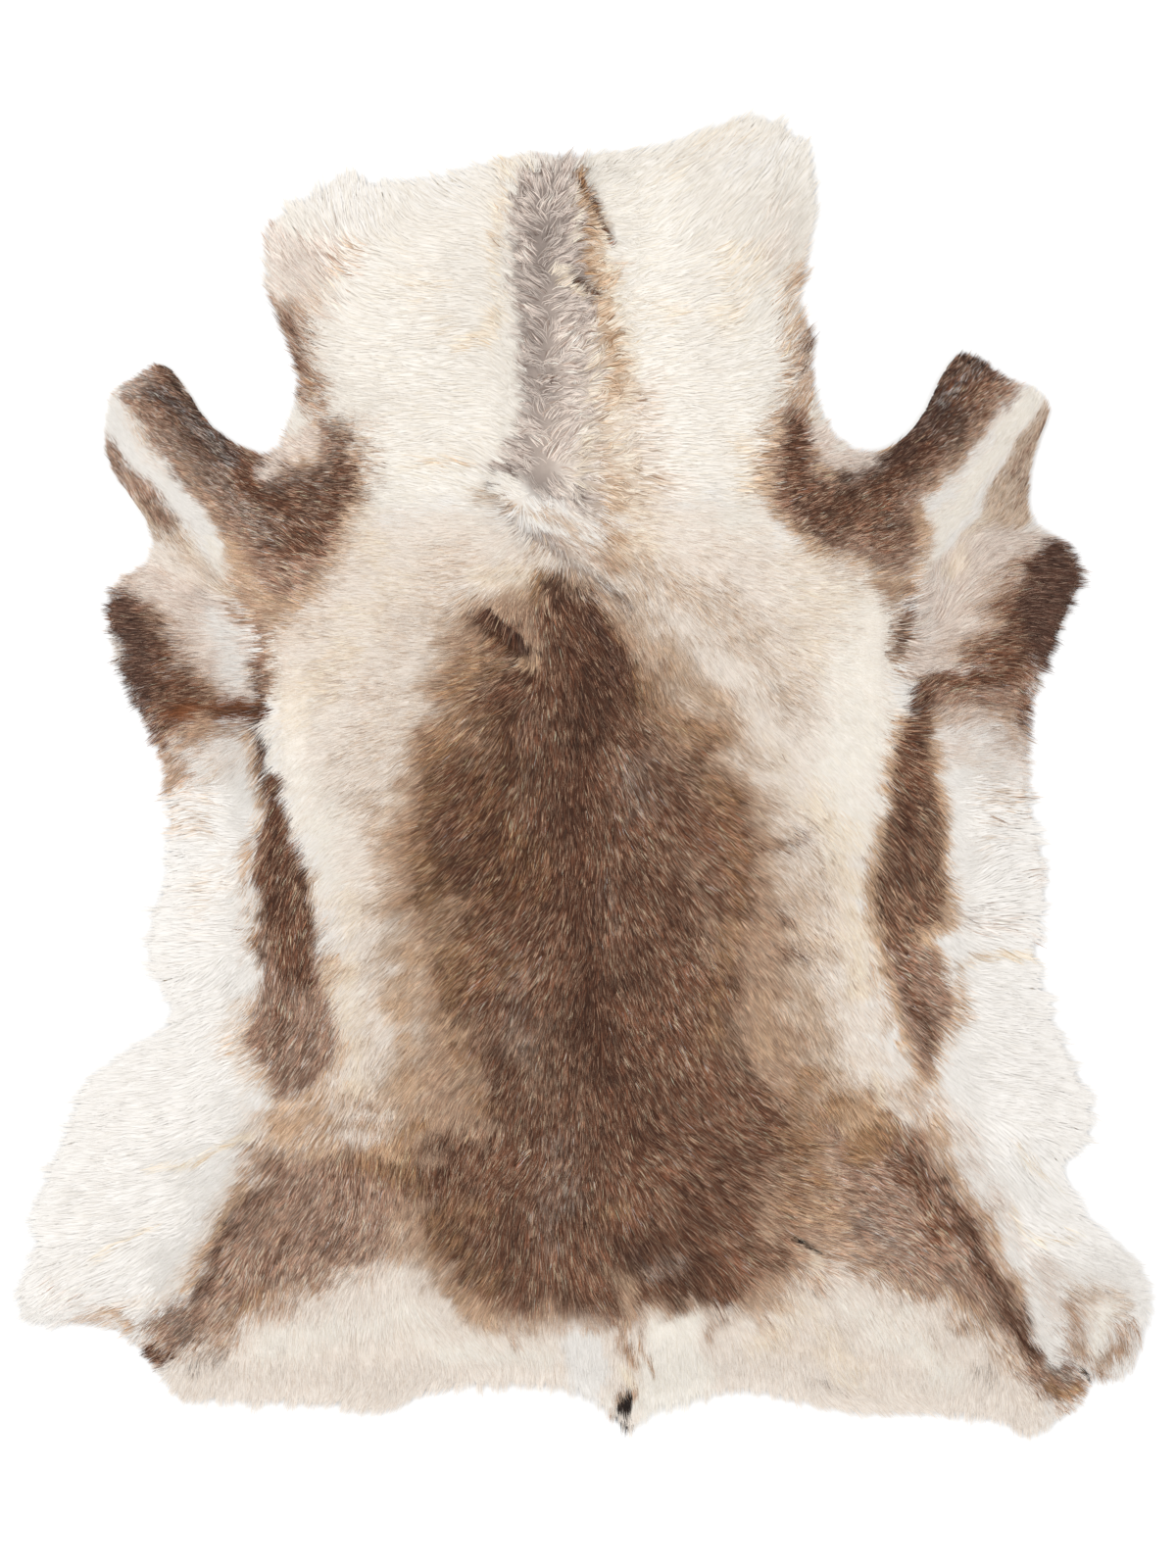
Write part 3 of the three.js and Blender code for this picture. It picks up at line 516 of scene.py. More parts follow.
    ("fawn", 0.7, 26, 9, [(-380, 40), (-350, 42), (-322, 46)]),
    # The fold between the elbow and the belly: red-brown hair, with a core of painted shade in the
    # fold.
    ("rust", 0.95, 22, 11, [(-378, 62), (-350, 62), (-326, 64), (-308, 60)]),
    ("umber", 0.7, 10, 4, [(-362, 60), (-330, 62), (-306, 58)]),
    ("fawn", 0.8, 14, 6, [(-392, 20), (-390, -8)]),
    ("tan", 0.45, 14, 4, [(-388, -10), (-390, -60)]),
    ("tan", 0.7, 12, 5, [(-318, 40), (-308, 6), (-302, -20)]),
    ("fawn", 0.85, 12, 4, [(-336, 161), (-318, 146), (-308, 132)]),
    ("fawn", 0.95, 26, 10, [(-320, 182), (-307, 152), (-301, 112), (-301, 80)]),
    # Along the fold where the ribs' hair overhangs the elbow: brown hair, darkened there as
    # painted shade.
    ("roan", 0.85, 14, 5, [(-311, 142), (-306, 112), (-304, 82), (-305, 64)]),
    ("brown", 0.8, 8, 3, [(-309, 100), (-306, 70), (-308, 52)]),
    ("umber", 0.9, 9, 4, [(-312, 50), (-304, 22), (-300, 0), (-294, -26), (-288, -46)]),
    ("pearl", 0.35, 34, 14, [(-382, 20), (-352, 26), (-326, 12)]),
    ("fawn", 0.9, 36, 13, [(-362, 46), (-378, 26), (-382, 0)]),
    ("tan", 0.25, 40, 12, [(-378, -6), (-380, -40)]),
    ("dust", 0.5, 44, 14, [(-350, 8), (-362, -40)]),
    # the left flank
    ("tan", 0.7, 36, None, [
        (-300, -30), (-318, -66), (-322, -104), (-306, -128), (-312, -160), (-304, -190),
        (-326, -220), (-328, -262), (-300, -300), (-302, -345), (-240, -345), (-232, -300),
        (-224, -240), (-232, -180), (-246, -120), (-262, -60)]),
    ("roan", 1, 16, None, [
        (-298, 0), (-298, -45), (-311, -70), (-315, -96), (-308, -112), (-298, -130),
        (-302, -145), (-308, -160), (-300, -182), (-303, -202), (-313, -226), (-315, -246),
        (-306, -262), (-296, -280), (-284, -300), (-268, -300), (-252, -286), (-242, -266),
        (-234, -250), (-234, -226), (-241, -200), (-244, -170), (-250, -145), (-256, -120),
        (-261, -95), (-267, -70), (-276, -45), (-285, 0)]),
    ("brown", 0.95, 14, None, [
        (-298, 0), (-297, -48), (-309, -72), (-313, -96), (-302, -118), (-294, -150),
        (-286, -190), (-262, -200), (-248, -196), (-251, -150), (-257, -120), (-262, -95),
        (-267, -70), (-276, -45), (-285, 0)]),
    ("umber", 0.55, 20, 9, [(-286, -30), (-290, -60), (-294, -90), (-288, -130)]),
    ("brown", 0.5, 20, 9, [(-276, -190), (-282, -226), (-284, -250)]),
    ("tan", 0.8, 9, 3, [(-316, -62), (-319, -96)]),
    ("gold", 0.5, 9, 3, [(-305, -148), (-307, -164)]),
    ("pearl", 0.5, 10, 3, [(-320, -118), (-322, -176)]),
    ("oat", 0.5, 50, 16, [(-352, -100), (-366, -150)]),
    ("ash", 0.35, 8, 1.5, [(-342, -196), (-340, -206)]),
    ("oat", 0.6, 30, 8, [(-326, -210), (-334, -240), (-322, -280), (-310, -340)]),
    # the left groin
    ("tan", 0.75, 16, 5, [(-316, -382), (-340, -418), (-358, -452), (-382, -484)]),
    ("oat", 0.7, 20, 6, [(-326, -378), (-352, -418), (-372, -454), (-398, -484)]),
    ("sand", 0.9, 8, 2.5, [(-396, -371), (-368, -364), (-340, -350), (-315, -342)]),
    ("sand", 0.9, 8, 2.5, [(-460, -456), (-432, -436), (-406, -419)]),
    ("oat", 0.6, 24, 8, [(-440, -500), (-410, -488), (-386, -480)]),
    ("tan", 0.85, 10, 5, [(-458, -508), (-440, -510), (-424, -519)]),
    ("pearl", 0.5, 30, 10, [(-500, -486), (-470, -500), (-430, -512)]),
    # the right foreleg and shoulder
    ("tan", 0.7, 26, None, [
        (350, 398), (410, 376), (378, 322), (345, 290), (330, 262), (330, 196), (318, 160),
        (290, 160), (262, 190), (226, 210), (180, 240), (164, 270), (166, 310), (178, 350),
        (214, 354), (224, 312), (262, 300)]),
    ("fawn", 0.55, 44, 16, [(184, 330), (182, 290), (206, 244), (244, 210), (286, 196)]),
    ("roan", 1, 20, None, [
        (350, 402), (358, 406), (372, 400), (386, 392), (400, 378), (416, 375), (402, 354),
        (380, 331), (355, 306), (335, 286), (325, 266), (321, 242), (318, 208), (304, 192),
        (262, 202), (236, 210), (220, 226), (204, 240), (186, 254), (178, 284), (182, 320),
        (188, 350), (208, 348), (212, 318), (219, 286), (248, 274), (268, 290), (284, 305),
        (302, 325), (316, 340), (331, 356), (341, 376)]),
    ("brown", 0.8, 36, None, [
        (350, 402), (362, 406), (380, 394), (404, 376), (382, 346), (352, 318), (328, 292),
        (312, 262), (306, 226), (290, 206), (256, 214), (232, 226), (206, 246), (190, 262),
        (186, 300), (196, 340), (207, 324), (216, 284), (258, 278), (300, 314), (328, 350)]),
    ("umber", 0.6, 30, 15, [(352, 366), (334, 340), (306, 312), (276, 284), (248, 266)]),
    ("grizzle", 0.65, 24, 10, [(372, 390), (358, 372), (342, 350), (322, 330)]),
    ("sable", 0.8, 18, 8, [(336, 348), (318, 328), (298, 310), (272, 294), (248, 280)]),
    ("sable", 0.6, 16, 7, [(348, 384), (354, 402), (376, 392), (394, 378)]),
    ("black", 0.5, 12, 5, [(346, 376), (352, 400), (378, 390)]),
    ("umber", 0.8, 26, 12, [(350, 336), (328, 314), (306, 296)]),
    ("sable", 0.6, 22, 8, [(338, 336), (316, 316), (300, 302)]),
    ("ash", 0.5, 24, 9, [(262, 294), (276, 296), (258, 276)]),
    ("ash", 0.3, 30, 12, [(366, 346), (340, 306), (310, 264), (280, 236)]),
    ("umber", 0.8, 20, 10, [(200, 330), (197, 300), (208, 276)]),
    ("pearl", 0.85, 20, 11, [(224, 324), (234, 300), (262, 300)]),
    ("fawn", 0.5, 20, 8, [(384, 340), (352, 306), (330, 280), (318, 240)]),
    ("tan", 0.7, 16, 7, [(322, 250), (320, 214), (322, 188)]),
    ("tan", 0.6, 20, 7, [(200, 234), (232, 206), (270, 196)]),
    ("fawn", 0.3, 24, 8, [(300, 188), (306, 172)]),
    ("dust", 0.85, 16, None, [
        (432, 360), (450, 349), (444, 325), (436, 300), (434, 270), (430, 240), (402, 226),
        (360, 222), (370, 252), (386, 280), (410, 324)]),
    ("roan", 0.15, 16, None, [
        (432, 360), (450, 349), (444, 325), (436, 300), (434, 270), (430, 246), (408, 246),
        (398, 272), (416, 318)]),
    ("oat", 0.7, 26, 12, [(426, 366), (400, 324), (372, 284), (344, 244)]),
    ("cream", 1, 16, 8, [(426, 366), (412, 346), (397, 322), (383, 300), (366, 276)]),
    ("cream", 1, 20, 8, [(368, 278), (352, 252), (340, 234)]),
    ("cream", 0.9, 20, 8, [(340, 240), (334, 222), (330, 206)]),
    ("roan", 0.7, 14, 5, [(440, 348), (430, 322), (416, 300), (402, 282)]),
    ("roan", 0.5, 18, 6, [(414, 290), (414, 262)]),
    # the right elbow
    ("pearl", 0.95, 14, None, [
        (324, 198), (350, 218), (368, 240), (420, 236), (442, 230), (432, 190), (405, 150),
        (385, 110), (360, 84), (306, 84), (314, 140), (320, 170)]),
    ("sand", 0.6, 20, 8, [(352, 196), (362, 224), (376, 244)]),
    ("white", 0.4, 30, 8, [(334, 180), (330, 140)]),
    ("fawn", 0.8, 44, None, [
        (420, 226), (396, 190), (370, 160), (358, 130), (334, 106), (420, 80), (480, 190),
        (456, 231)]),
    ("brown", 0.95, 38, None, [
        (424, 228), (406, 192), (388, 160), (376, 132), (352, 104), (410, 80), (426, 84),
        (480, 190), (456, 231)]),
    ("sable", 0.95, 30, None, [
        (434, 228), (454, 231), (464, 206), (477, 193), (466, 172), (470, 150), (462, 125),
        (450, 105), (442, 90), (424, 108), (408, 140), (405, 165), (413, 190), (428, 212)]),
    ("roan", 0.95, 24, 18, [(328, 80), (360, 80), (412, 78)]),
    ("brown", 0.9, 18, 11, [(332, 90), (370, 96), (414, 96)]),
    ("umber", 0.6, 12, 5, [(346, 90), (386, 92)]),
    ("brown", 0.9, 14, 8, [(319, 84), (319, 56)]),
    ("fawn", 0.85, 26, 10, [(336, 56), (366, 58), (404, 60)]),
    ("brown", 0.9, 10, 5, [(422, 84), (416, 56), (414, 26)]),
    ("fawn", 0.95, 24, 9, [(402, 56), (403, 24)]),
    ("tan", 0.75, 12, 4, [(416, 24), (418, -20), (421, -36)]),
    ("fawn", 0.8, 26, 9, [(288, 176), (295, 160), (299, 134), (301, 100)]),
    ("fawn", 0.7, 14, 5, [(306, 186), (318, 178)]),
    ("roan", 0.85, 16, 6, [(308, 182), (310, 168), (306, 150), (302, 122)]),
    ("umber", 0.5, 10, 3, [(314, 164), (308, 148), (305, 130)]),
    ("pearl", 0.5, 20, 6, [(428, -40), (434, -110)]),
    ("pearl", 0.6, 40, 20, [(344, 36), (380, 46), (398, 16)]),
    ("dust", 0.35, 50, 16, [(376, 10), (398, -30), (380, -60)]),
    # the right flank
    ("tan", 0.85, 20, None, [
        (300, 60), (330, 56), (340, 10), (347, -40), (350, -80), (358, -110), (352, -138),
        (334, -154), (348, -184), (352, -214), (346, -250), (334, -290), (310, -300),
        (292, -240), (280, -190), (262, -130), (270, -60), (284, 0)]),
    ("brown", 0.8, 14, None, [
        (306, 84), (324, 84), (328, 25), (334, 0), (336, -30), (340, -60), (343, -88),
        (348, -106), (343, -122), (330, -137), (318, -152), (306, -168), (296, -180),
        (280, -160), (275, -125), (279, -100), (281, -60), (286, -30), (292, 0), (299, 30)]),
    ("roan", 0.95, 16, None, [
        (284, -160), (322, -160), (332, -168), (344, -185), (348, -202), (345, -235),
        (334, -262), (324, -286), (316, -286), (305, -250), (298, -220), (290, -190)]),
    ("umber", 0.4, 20, 10, [(314, 40), (310, 0), (308, -50), (304, -100)]),
    ("tan", 0.6, 16, 5, [(336, 34), (341, -14)]),
    ("tan", 0.5, 24, 7, [(276, -190), (282, -240)]),
    ("brown", 0.7, 18, 9, [(290, -60), (288, -110), (300, -170), (320, -226), (326, -250)]),
    ("white", 1, 9, 5, [(350, -156), (334, -154)]),
    ("tan", 0.65, 16, 6, [(352, -184), (357, -204), (354, -232)]),
    ("sand", 0.9, 9, 3, [(358, -184), (372, -174), (392, -170), (420, -170)]),
    ("tan", 0.7, 5, 1.5, [(357, -184), (374, -173), (396, -171)]),
    ("ash", 0.35, 12, 3, [(364, -130), (384, -122), (404, -136)]),
    ("pearl", 0.4, 24, 10, [(360, -130), (410, -140)]),
    # the right groin and hock
    ("tan", 0.7, 26, 6, [(330, -300), (336, -330), (347, -360)]),
    ("fawn", 0.6, 26, 8, [(314, -304), (322, -330)]),
    ("pearl", 0.55, 30, 10, [(350, -320), (376, -370), (406, -424), (430, -462), (440, -500)]),
    ("tan", 0.7, 14, 4, [(341, -350), (361, -384), (380, -420), (394, -452), (410, -490)]),
    ("rust", 0.35, 10, 3, [(347, -364), (368, -398), (388, -440)]),
    ("sand", 0.9, 9, 2, [(402, -404), (416, -424), (432, -434), (450, -438), (466, -431)]),
    ("sand", 0.5, 18, 4, [(404, -340), (430, -376)]),
    ("ash", 0.25, 8, 1.5, [(450, -370), (476, -402), (500, -430)]),
    ("dust", 0.6, 30, 14, [(462, -486), (500, -500), (490, -540)]),
    ("fawn", 0.8, 24, 8, [(456, -500), (466, -524), (476, -548)]),
    ("fawn", 0.8, 20, 10, [(516, -524), (508, -546), (488, -560)]),
    ("cream", 0.8, 16, 6, [(492, -500), (490, -530), (486, -544)]),
    ("white", 0.8, 18, 6, [(420, -494), (434, -528), (452, -552)]),
    ("black", 0.8, 4, 2, [(472, -564), (477, -568)]),
]

# Creases of the hide, where its hair parts: the half-width and the points of each.
CREASES = [
    (3, [(1, 578), (6, 556), (11, 536), (21, 515), (29, 506)]),
    (4, [(-8, 468), (4, 462), (14, 455)]),
    (2, [(-31, 386), (-31, 374), (-34, 356)]),
    (2, [(-48, 510), (-33, 515)]),
    (2.2, [(-87, 278), (-76, 262), (-66, 250), (-50, 238), (-38, 227), (-18, 212), (2, 200),
           (18, 188), (30, 174)]),
    (3.5, [(-96, 153), (-78, 139), (-48, 116)]),
    (3, [(200, -436), (222, -452)]),
]
CREASE_CUT = 0.6  # of its length that a hair at a crease loses
CREASE_SHADE = 0.4  # of its light that it loses

# The comb: where the hair of a place points, as a heading in degrees, 0 to the right and 90 to
# the neck.
COMB = [
    # left side of the neck
    (-270, 520, 122), (-225, 560, 96), (-200, 535, 110), (-150, 550, 140), (-100, 572, 150),
    (-190, 480, 165), (-250, 460, 134), (-278, 430, 130), (-264, 390, 138), (-250, 350, 152),
    (-180, 400, 180), (-120, 480, 178), (-120, 420, 185), (-150, 340, 184), (-225, 400, 166),
    (-130, 520, 172), (-280, 480, 126), (-100, 350, 180),
    # nape
    (-35, 572, 90), (-58, 562, 128), (-8, 566, 52), (-60, 520, 150), (-12, 538, 40),
    (-60, 470, 152), (-62, 400, 150), (-60, 350, 146), (-14, 440, 20), (0, 420, 36),
    (10, 396, 34), (26, 380, 8), (-14, 368, 0), (0, 340, 24), (-18, 318, 42), (-50, 320, 160),
    (-74, 302, 152), (20, 300, 6), (22, 262, 340), (0, 242, 325), (-22, 258, 312),
    (-14, 490, 25), (-52, 440, 150), (12, 540, 20), (18, 515, 350), (14, 470, 10),
    # right side of the neck
    (60, 570, 32), (100, 592, 38), (150, 604, 46), (190, 600, 60), (100, 530, 40),
    (150, 540, 48), (190, 515, 55), (60, 480, 15), (100, 460, 15), (60, 420, 5),
    (120, 400, 10), (180, 450, 42), (196, 420, 50), (212, 405, 58), (180, 380, 14),
    (100, 350, 0), (150, 320, 4), (60, 330, 0), (80, 300, 355), (130, 280, 0),
    # shoulders and withers
    (50, 260, 350), (100, 232, 350), (150, 200, 345), (130, 160, 325), (100, 150, 308),
    (60, 150, 292), (80, 128, 292), (120, 120, 305), (150, 130, 320), (150, 90, 302),
    (140, 60, 310), (100, 60, 325), (-60, 160, 262), (-50, 134, 276), (-82, 172, 228),
    (-20, 170, 290), (0, 130, 300), (20, 100, 300), (-20, 100, 280), (0, 60, 285),
    (30, 60, 300), (42, 112, 290), (60, 100, 288), (-40, 190, 240), (-60, 202, 216),
    (-100, 200, 186), (-100, 240, 180), (-110, 272, 165), (-150, 250, 175), (-200, 220, 175),
    (20, 180, 312), (42, 160, 300), (62, 172, 302), (100, 190, 325), (-150, 80, 186),
    (-150, 130, 178), (-150, 180, 175), (-100, 100, 192), (-70, 80, 216), (-70, 112, 200),
    # left shoulder and foreleg
    (-230, 330, 176), (-230, 290, 180), (-250, 260, 166), (-262, 225, 150), (-300, 250, 164),
    (-300, 200, 172), (-330, 280, 150), (-350, 250, 162), (-350, 320, 144), (-380, 350, 150),
    (-412, 365, 160), (-380, 300, 156), (-400, 290, 148), (-430, 300, 125), (-410, 255, 120),
    (-380, 225, 125), (-340, 192, 132), (-432, 322, 125), (-270, 180, 160), (-260, 140, 175),
    (-290, 130, 185), (-280, 320, 150), (-275, 345, 120),
    # left elbow
    (-330, 150, 168), (-370, 160, 165), (-370, 190, 150), (-410, 180, 174), (-430, 150, 180),
    (-430, 110, 190), (-400, 120, 182), (-350, 120, 184), (-340, 90, 188), (-380, 90, 190),
    (-412, 70, 205), (-396, 40, 214), (-350, 62, 184), (-320, 60, 180), (-350, 30, 200),
    (-330, 10, 220), (-382, 10, 216), (-350, -22, 172), (-322, -40, 168), (-382, -40, 190),
    # right shoulder and foreleg
    (196, 310, 4), (215, 330, 28), (240, 300, 12), (270, 290, 22), (300, 318, 36),
    (330, 340, 42), (362, 384, 52), (382, 352, 36), (402, 364, 34), (350, 312, 30),
    (330, 290, 26), (402, 322, 50), (416, 300, 64), (432, 340, 66), (412, 262, 62),
    (392, 252, 60), (250, 256, 32), (230, 232, 22), (282, 226, 20), (262, 210, 18),
    (300, 206, 12), (302, 160, 20), (250, 170, 0), (200, 150, 350), (252, 120, 346),
    (290, 112, 345), (200, 100, 332), (250, 60, 322), (222, 0, 312), (278, 10, 316),
    (205, 345, 60), (236, 330, 50),
    # right elbow
    (330, 182, 84), (326, 150, 72), (346, 200, 60), (362, 190, 42), (382, 222, 18),
    (372, 165, 22), (402, 200, 6), (360, 140, 20), (332, 120, 10), (382, 120, 4),
    (432, 205, 0), (462, 192, 0), (442, 160, 350), (432, 120, 336), (422, 90, 326),
    (416, 60, 330), (412, 30, 340), (350, 90, 10), (382, 70, 350), (320, 70, 38),
    (334, 58, 36), (312, 46, 0),
    # right belly and groin
    (380, 30, 10), (362, 0, 0), (402, -40, 355), (380, -90, 28), (402, -120, 10),
    (402, -142, 342), (432, -60, 0), (402, -200, 352), (440, -250, 350), (402, -300, 350),
    (460, -320, 345), (382, -350, 318), (422, -380, 312), (450, -422, 335), (482, -460, 340),
    (505, -490, 345), (460, -470, 330), (440, -500, 312), (470, -530, 300), (518, -520, 282),
    (508, -552, 276), (490, -556, 300), (360, -265, 345), (365, -230, 340),
    # right flank
    (312, 30, 330), (316, -20, 322), (310, -60, 310), (300, -100, 302), (322, -130, 320),
    (310, -170, 326), (322, -210, 326), (322, -250, 315), (322, -300, 305),
    # right of the back, loin and thigh
    (60, 40, 315), (100, 20, 325), (150, -20, 325), (30, 0, 296), (60, -50, 306),
    (120, -60, 320), (170, -60, 325), (202, -80, 310), (10, -50, 280), (240, -100, 300),
    (262, -160, 300), (202, -150, 310), (150, -120, 316), (60, -120, 300), (102, -160, 305),
    (26, -130, 280), (42, -200, 290), (102, -230, 300), (162, -220, 302), (222, -230, 300),
    (272, -230, 305), (62, -270, 300), (122, -290, 310), (182, -290, 320), (242, -300, 302),
    (292, -320, 310), (32, -330, 285), (62, -350, 320), (112, -350, 325), (162, -350, 335),
    (222, -370, 345), (282, -380, 335), (322, -380, 302), (22, -400, 285), (62, -420, 305),
    (112, -420, 320), (162, -430, 330), (222, -430, 345), (272, -430, 340), (332, -440, 320),
    (372, -450, 306), (402, -510, 305), (432, -560, 315), (460, -582, 325), (452, -556, 330),
    (62, -470, 310), (102, -490, 300), (152, -490, 310), (202, -490, 300), (282, -490, 300),
    (342, -510, 290), (202, -540, 282), (282, -550, 280), (252, -586, 318), (302, -596, 322),
    (362, -560, 262), (382, -590, 266), (422, -600, 285), (430, -622, 270), (140, -570, 275),
    # tail
    (20, -470, 300), (40, -520, 270), (43, -595, 270), (62, -542, 286), (80, -530, 275),
    (120, -522, 285), (0, -542, 275),
    # left of the back, loin and thigh
    (-30, 0, 266), (-50, 50, 265), (-20, 50, 275), (-100, 50, 226), (-130, 20, 216),
    (-80, 0, 236), (-150, -20, 210), (-100, -50, 226), (-50, -50, 258), (-10, -80, 262),
    (-40, -110, 240), (-80, -130, 226), (-130, -130, 218), (-180, -80, 206), (-200, -50, 206),
    (-60, -170, 230), (-100, -180, 226), (-150, -190, 226), (-20, -170, 250),
    (-10, -230, 262), (-50, -220, 250), (-90, -230, 240), (-140, -240, 230),
    (-200, -200, 226), (-230, -150, 228), (-30, -280, 265), (-70, -270, 246),
    (-110, -280, 230), (-170, -280, 236), (-220, -260, 252), (-60, -320, 260),
    (-110, -320, 250), (-160, -330, 250), (-20, -340, 265), (-60, -360, 236),
    (-30, -370, 250), (-100, -370, 250), (-150, -370, 260), (-200, -370, 264),
    (-60, -420, 262), (-100, -420, 245), (-120, -440, 230), (-160, -430, 246),
    (-20, -420, 272), (0, -450, 290), (-80, -470, 240), (-40, -480, 265), (-110, -486, 226),
    (-140, -504, 312), (-100, -520, 308), (-70, -524, 298), (-170, -540, 285),
    (-250, -540, 275), (-200, -480, 268), (-300, -540, 270), (-350, -560, 262),
    (-250, -370, 245), (-290, -370, 230), (-300, -400, 235), (-330, -420, 230),
    (-240, -440, 240), (-220, -460, 235), (-340, -480, 226), (-380, -510, 220),
    (-400, -530, 224), (-300, -470, 254), (-350, -530, 232), (-270, -330, 236),
    (-404, -556, 200), (-370, -570, 250), (-300, -586, 258), (-190, -590, 240),
    (-230, -594, 240), (-150, -570, 244), (-60, -556, 264),
    # left flank and ribs
    (-302, 30, 240), (-290, -20, 240), (-285, -60, 245), (-296, -95, 245), (-275, -100, 254),
    (-270, -150, 262), (-275, -200, 258), (-285, -240, 236), (-265, -260, 240),
    (-280, -300, 230), (-312, -255, 205), (-200, 0, 212), (-270, 0, 220), (-250, 50, 200),
    (-200, 50, 196), (-280, 90, 183), (-250, 120, 180), (-200, 120, 183), (-250, -60, 222),
    # left belly and groin
    (-350, -100, 184), (-392, -100, 190), (-350, -150, 180), (-402, -150, 180),
    (-340, -192, 225), (-352, -208, 200), (-402, -250, 190), (-350, -260, 208),
    (-430, -300, 188), (-350, -330, 200), (-450, -350, 186), (-402, -400, 196),
    (-340, -380, 214), (-370, -440, 216), (-450, -420, 190), (-502, -430, 186),
    (-450, -470, 205), (-502, -482, 214), (-412, -480, 220), (-440, -506, 202),
    (-516, -500, 215),
]

# The length of the hair on each part, in mm.
LENGTHS = [
    (-190, 480, 34), (-270, 520, 34), (110, 480, 34), (180, 560, 36), (-120, 300, 26),
    (120, 300, 26), (-35, 560, 22), (-35, 480, 22), (-35, 400, 22), (-30, 320, 22),
    (0, 240, 18), (-250, 280, 14), (220, 290, 14), (-390, 350, 9), (-330, 290, 11),
    (370, 360, 9), (310, 290, 11), (-410, 260, 12), (410, 290, 12), (-430, 140, 20),
    (-360, 150, 24), (440, 170, 20), (360, 170, 28), (-370, 50, 18), (370, 80, 18),
    (-350, -40, 24), (380, 0, 24), (0, 100, 17), (-200, 100, 20), (200, 100, 20),
    (0, -100, 17), (0, -300, 17), (-120, -200, 18), (120, -200, 18), (-230, -150, 21),
    (240, -150, 21), (-290, -150, 18), (310, -150, 18), (-380, -150, 34), (400, -150, 34),
    (-430, -350, 42), (410, -300, 42), (-480, -460, 42), (470, -460, 34), (-300, -430, 18),
    (300, -400, 18), (490, -530, 22), (-150, -540, 24), (200, -540, 24), (-300, -560, 24),
    (350, -570, 24), (43, -560, 24), (0, -550, 30), (85, -540, 30), (-390, -540, 14),
    (450, -580, 13),
]

# The pieces of hair: the boxes (west, south, east, north) that each fills, how far it mixes with
# the next, the spacing of its roots, the width of its locks and of its hairs, how many segments
# a hair has, how far its locks curl, how far a lock draws its hairs together, and how far hairs
# roll to one side. A root belongs to the first piece that has it.
PIECES = {
    "fur_nape": dict(
        boxes=[(-70, 258, 42, 700)],
        mix=5, spacing=1.78, lock=7.5, width=1.0, bends=4, curl=0.32, pull=0.8, roll=0.5),
    "fur_neck": dict(
        boxes=[(-180, 265, 164, 700), (-224, 356, 180, 700), (-300, 478, 180, 700),
               (-300, 524, 232, 700)],
        mix=26, spacing=2.7, lock=11.0, width=1.7, bends=3, curl=0.08, pull=0.4, roll=0.12),
    "fur_forelegs": dict(
        boxes=[(-600, -5, -296, 700), (232, 196, 600, 700), (300, -5, 600, 700)],
        mix=12, spacing=0.98, lock=4.5, width=0.95, bends=1, curl=0.0, pull=0.35, roll=0.5),
    "fur_back": dict(
        boxes=[(-180, -160, 190, 160)],
        mix=14, spacing=0.95, lock=5.6, width=0.9, bends=1, curl=0.0, pull=0.5, roll=0.5),
    "fur_loin": dict(
        boxes=[(-160, -500, 160, -160)],
        mix=14, spacing=0.9, lock=5.6, width=0.9, bends=1, curl=0.0, pull=0.5, roll=0.5),
    "fur_flanks": dict(
        boxes=[(-318, -330, 352, 700)],
        mix=14, spacing=1.3, lock=6.0, width=1.25, bends=1, curl=0.0, pull=0.3, roll=0.3),
    "fur_belly": dict(
        boxes=[(-600, -350, -322, 0), (-600, -430, -366, 0), (-600, -500, -404, 0),
               (358, -350, 600, 0), (404, -440, 600, 0)],
        mix=16, spacing=2.6, lock=12.0, width=1.8, bends=3, curl=0.08, pull=0.4, roll=0.2),
    "fur_haunches": dict(
        boxes=[(-700, -800, 700, 800)],
        mix=0, spacing=1.2, lock=5.6, width=1.1, bends=1, curl=0.0, pull=0.4, roll=0.4),
}

# The frame of the picture and the camera over it.
PICTURE_CENTRE = (5.0, -6.7)
PICTURE_HEIGHT = 1488.0
CAMERA_HEIGHT = 4.2  # m
SENSOR = 36.0

# The floor, in m, and the light on it: the place, the size and the power of each lamp.
FLOOR_REACH = 14.0
FLOOR_LEVEL = -0.0006
LAMPS = {
    "key": ((-1.5, 0.7, 3.1), 1.6, 34),
    "fill": ((1.8, -1.6, 3.0), 2.4, 8),
}


def linear(srgb):
    """A colour of 0 to 255 in sRGB as linear values."""
    c = np.asarray(srgb, float) / 255
    return np.where(c <= 0.04045, c / 12.92, ((c + 0.055) / 1.055) ** 2.4)


def smooth(t):
    """A soft step: 0 up to 0, 1 from 1 on."""
    t = np.clip(t, 0, 1)
    return t * t * (3 - 2 * t)


def lightness(colours, start, span):
    """How light each colour is: 0 up to start, 1 from a span above it on."""
    return smooth((colours.mean(1) - start) / span)


class Field:
    """Values on a square grid over the hide, read between its points."""

    def __init__(self, values):
        self.values = np.asarray(values, float)

    def at(self, x, y):
        """The values at x, y, in mm."""
        u = np.clip((x - GRID_X[0]) / GRID, 0, len(GRID_X) - 1.001)
        v = np.clip((y - GRID_Y[0]) / GRID, 0, len(GRID_Y) - 1.001)
        i, j = u.astype(int), v.astype(int)
        fu, fv = u - i, v - j
        if self.values.ndim == 3:
            fu, fv = fu[:, None], fv[:, None]
        low = self.values[j, i] * (1 - fu) + self.values[j, i + 1] * fu
        high = self.values[j + 1, i] * (1 - fu) + self.values[j + 1, i + 1] * fu
        return low * (1 - fv) + high * fv


GRID_X, GRID_Y = (np.arange(-reach, reach + 0.1, GRID) for reach in FIELD_REACH)


